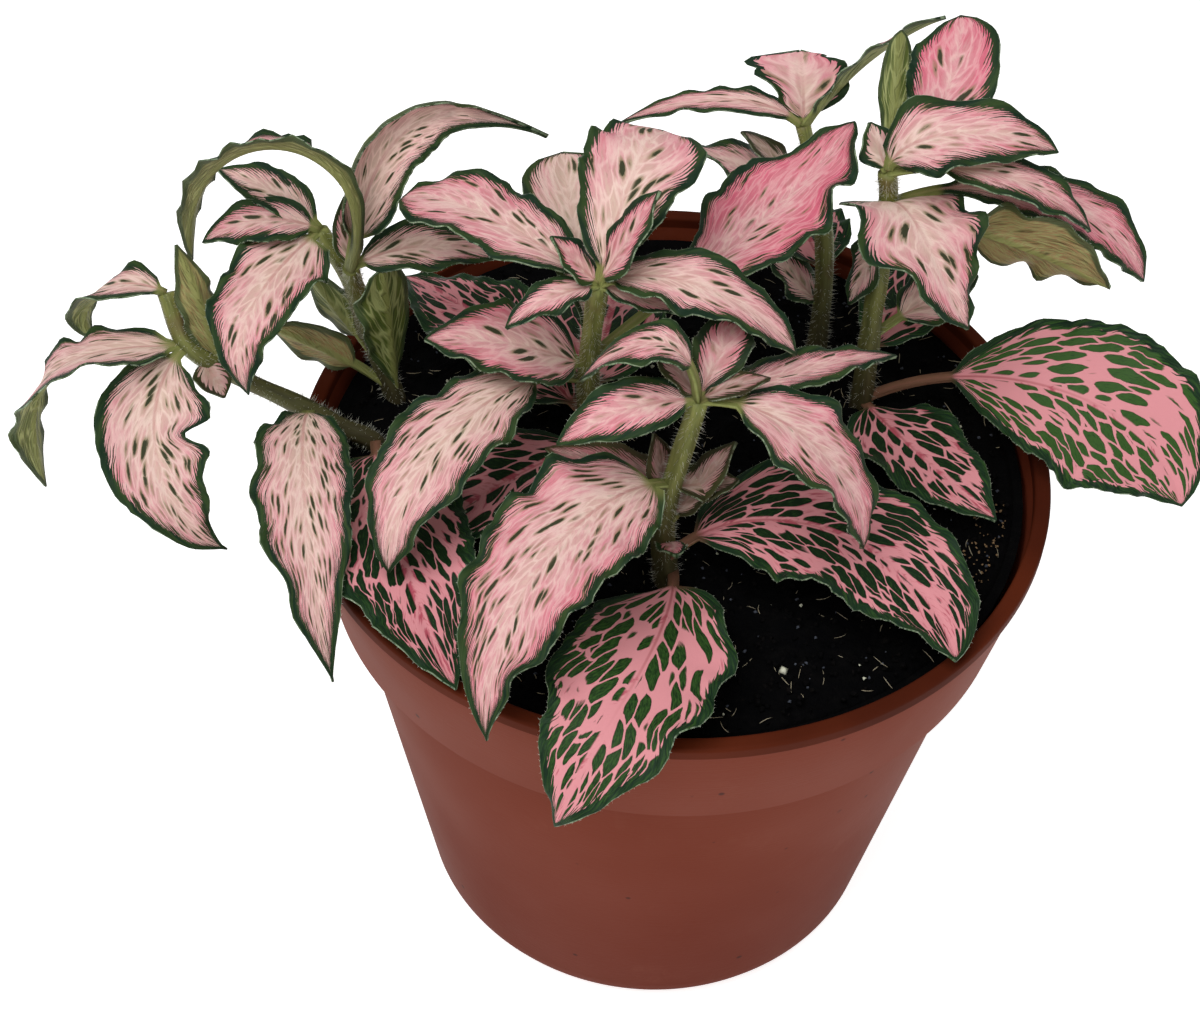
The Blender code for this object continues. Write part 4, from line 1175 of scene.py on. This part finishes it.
def make_pot():
    """Turn a smooth pot and cut its drain holes."""
    profile = pot_profile()
    rings = len(profile)
    corners = []
    for i in range(POT_SIDES):
        angle = 2 * pi * i / POT_SIDES
        corners += [(x * cos(angle), x * sin(angle), z) for x, z in profile[1:-1]]
    shape = Shape()
    inner = rings - 2
    faces = []
    for i in range(POT_SIDES):
        a = i * inner
        b = (i + 1) % POT_SIDES * inner
        faces += [(a + j, a + j + 1, b + j + 1, b + j) for j in range(inner - 1)]
        faces.append((len(corners), a, b))
        faces.append((a + inner - 1, len(corners) + 1, b + inner - 1))
    corners += [(0, 0, FLOOR), (0, 0, 0)]
    shape.add(corners, faces)
    mesh = shape.mesh("pot_wall", [pot_plastic()])
    piece = add_piece("pot_wall", mesh, "pot", "pot")
    cutters = bpy.data.collections.new("drain_cutters")
    for i in range(DRAIN_HOLES):
        angle = 2 * pi * (i + 0.5) / DRAIN_HOLES
        x, y = around(DRAIN_RING_RADIUS, angle)
        ring = [around(DRAIN_RADIUS, 2 * pi * j / DRAIN_SIDES) for j in range(DRAIN_SIDES)]
        hole = Shape()
        rims = [(x + dx, y + dy, z) for z in (-1, FLOOR + 1) for dx, dy in ring]
        hole.add(rims, tube_faces(2, DRAIN_SIDES))
        cutters.objects.link(bpy.data.objects.new(f"drain_{i}", hole.mesh(f"drain_{i}", [])))
    boolean = piece.modifiers.new("drain", "BOOLEAN")
    boolean.operand_type = "COLLECTION"
    boolean.collection = cutters
    bpy.context.view_layer.update()
    graph = bpy.context.evaluated_depsgraph_get()
    cut = bpy.data.meshes.new_from_object(piece.evaluated_get(graph))
    piece.modifiers.clear()
    piece.data = cut
    cut.set_sharp_from_angle(angle=radians(40))
    for cutter in list(cutters.objects):
        bpy.data.objects.remove(cutter)
    bpy.data.collections.remove(cutters)


# ---- the scene round the plant
def dress_cad_nodes():
    """Give the soil that the CAD made its finish."""
    mesh = frame["nodes"]["soil"].data
    mesh.materials.clear()
    mesh.materials.append(peat("peat_block", linear(2, 2, 3), linear(11, 10, 10)))


def make_floor():
    """Lay a plain pale floor."""
    shape = Shape()
    half = FLOOR_HALF_WIDTH
    shape.add([(-half, -half, 0), (half, -half, 0), (half, half, 0), (-half, half, 0)], [(0, 1, 2, 3)])
    g = Graph("floor")
    g.shader.inputs["Emission Color"].default_value = (1, 1, 1, 1)
    g.shader.inputs["Emission Strength"].default_value = FLOOR_GLOW
    mesh = shape.mesh("floor", [g.finish((0.93, 0.93, 0.93, 1), 0.9, 0.1)])
    floor = bpy.data.objects.new("floor", mesh)
    bpy.context.scene.collection.objects.link(floor)


def add_light(name, place, aim, size, power):
    """Add a square soft light that points at a place."""
    lamp = bpy.data.lights.new(name, "AREA")
    lamp.shape = "SQUARE"
    lamp.size = size
    lamp.energy = power
    light = bpy.data.objects.new(name, lamp)
    light.location = place
    light.rotation_euler = (Vector(aim) - Vector(place)).to_track_quat("-Z", "Y").to_euler()
    bpy.context.scene.collection.objects.link(light)


def light_scene():
    """Light the plant softly from above, with a pale surrounding."""
    world = bpy.data.worlds.new("studio")
    world.use_nodes = True
    backdrop = world.node_tree.nodes["Background"]
    backdrop.inputs["Color"].default_value = (1, 1, 1, 1)
    backdrop.inputs["Strength"].default_value = BACKDROP_STRENGTH
    bpy.context.scene.world = world
    bpy.context.scene.view_settings.view_transform = "Standard"
    add_light("key", place=(-0.16, -0.16, 0.58), aim=(0, 0, 0.1), size=0.4, power=2.0)
    add_light("fill", place=(0.45, -0.5, 0.45), aim=(0, 0, 0.06), size=0.6, power=0.6)


def add_camera():
    """Look at the plant from the front, well above it."""
    lens = bpy.data.cameras.new("camera")
    lens.lens = CAMERA_LENS
    lens.clip_start = 0.01
    camera = bpy.data.objects.new("camera", lens)
    tilt = radians(CAMERA_ELEVATION)
    back = Vector((0, -cos(tilt), sin(tilt)))
    turn = (-back).to_track_quat("-Z", "Y").to_matrix().to_4x4()
    roll = Matrix.Rotation(radians(CAMERA_ROLL), 4, "Z")
    camera.matrix_world = Matrix.Translation(Vector(CAMERA_TARGET) + back * CAMERA_DISTANCE) @ turn @ roll
    bpy.context.scene.collection.objects.link(camera)
    bpy.context.scene.camera = camera


make_shoots()
make_pot()
dress_cad_nodes()
make_soil_surface()
make_soil_bits()
make_floor()
light_scene()
add_camera()
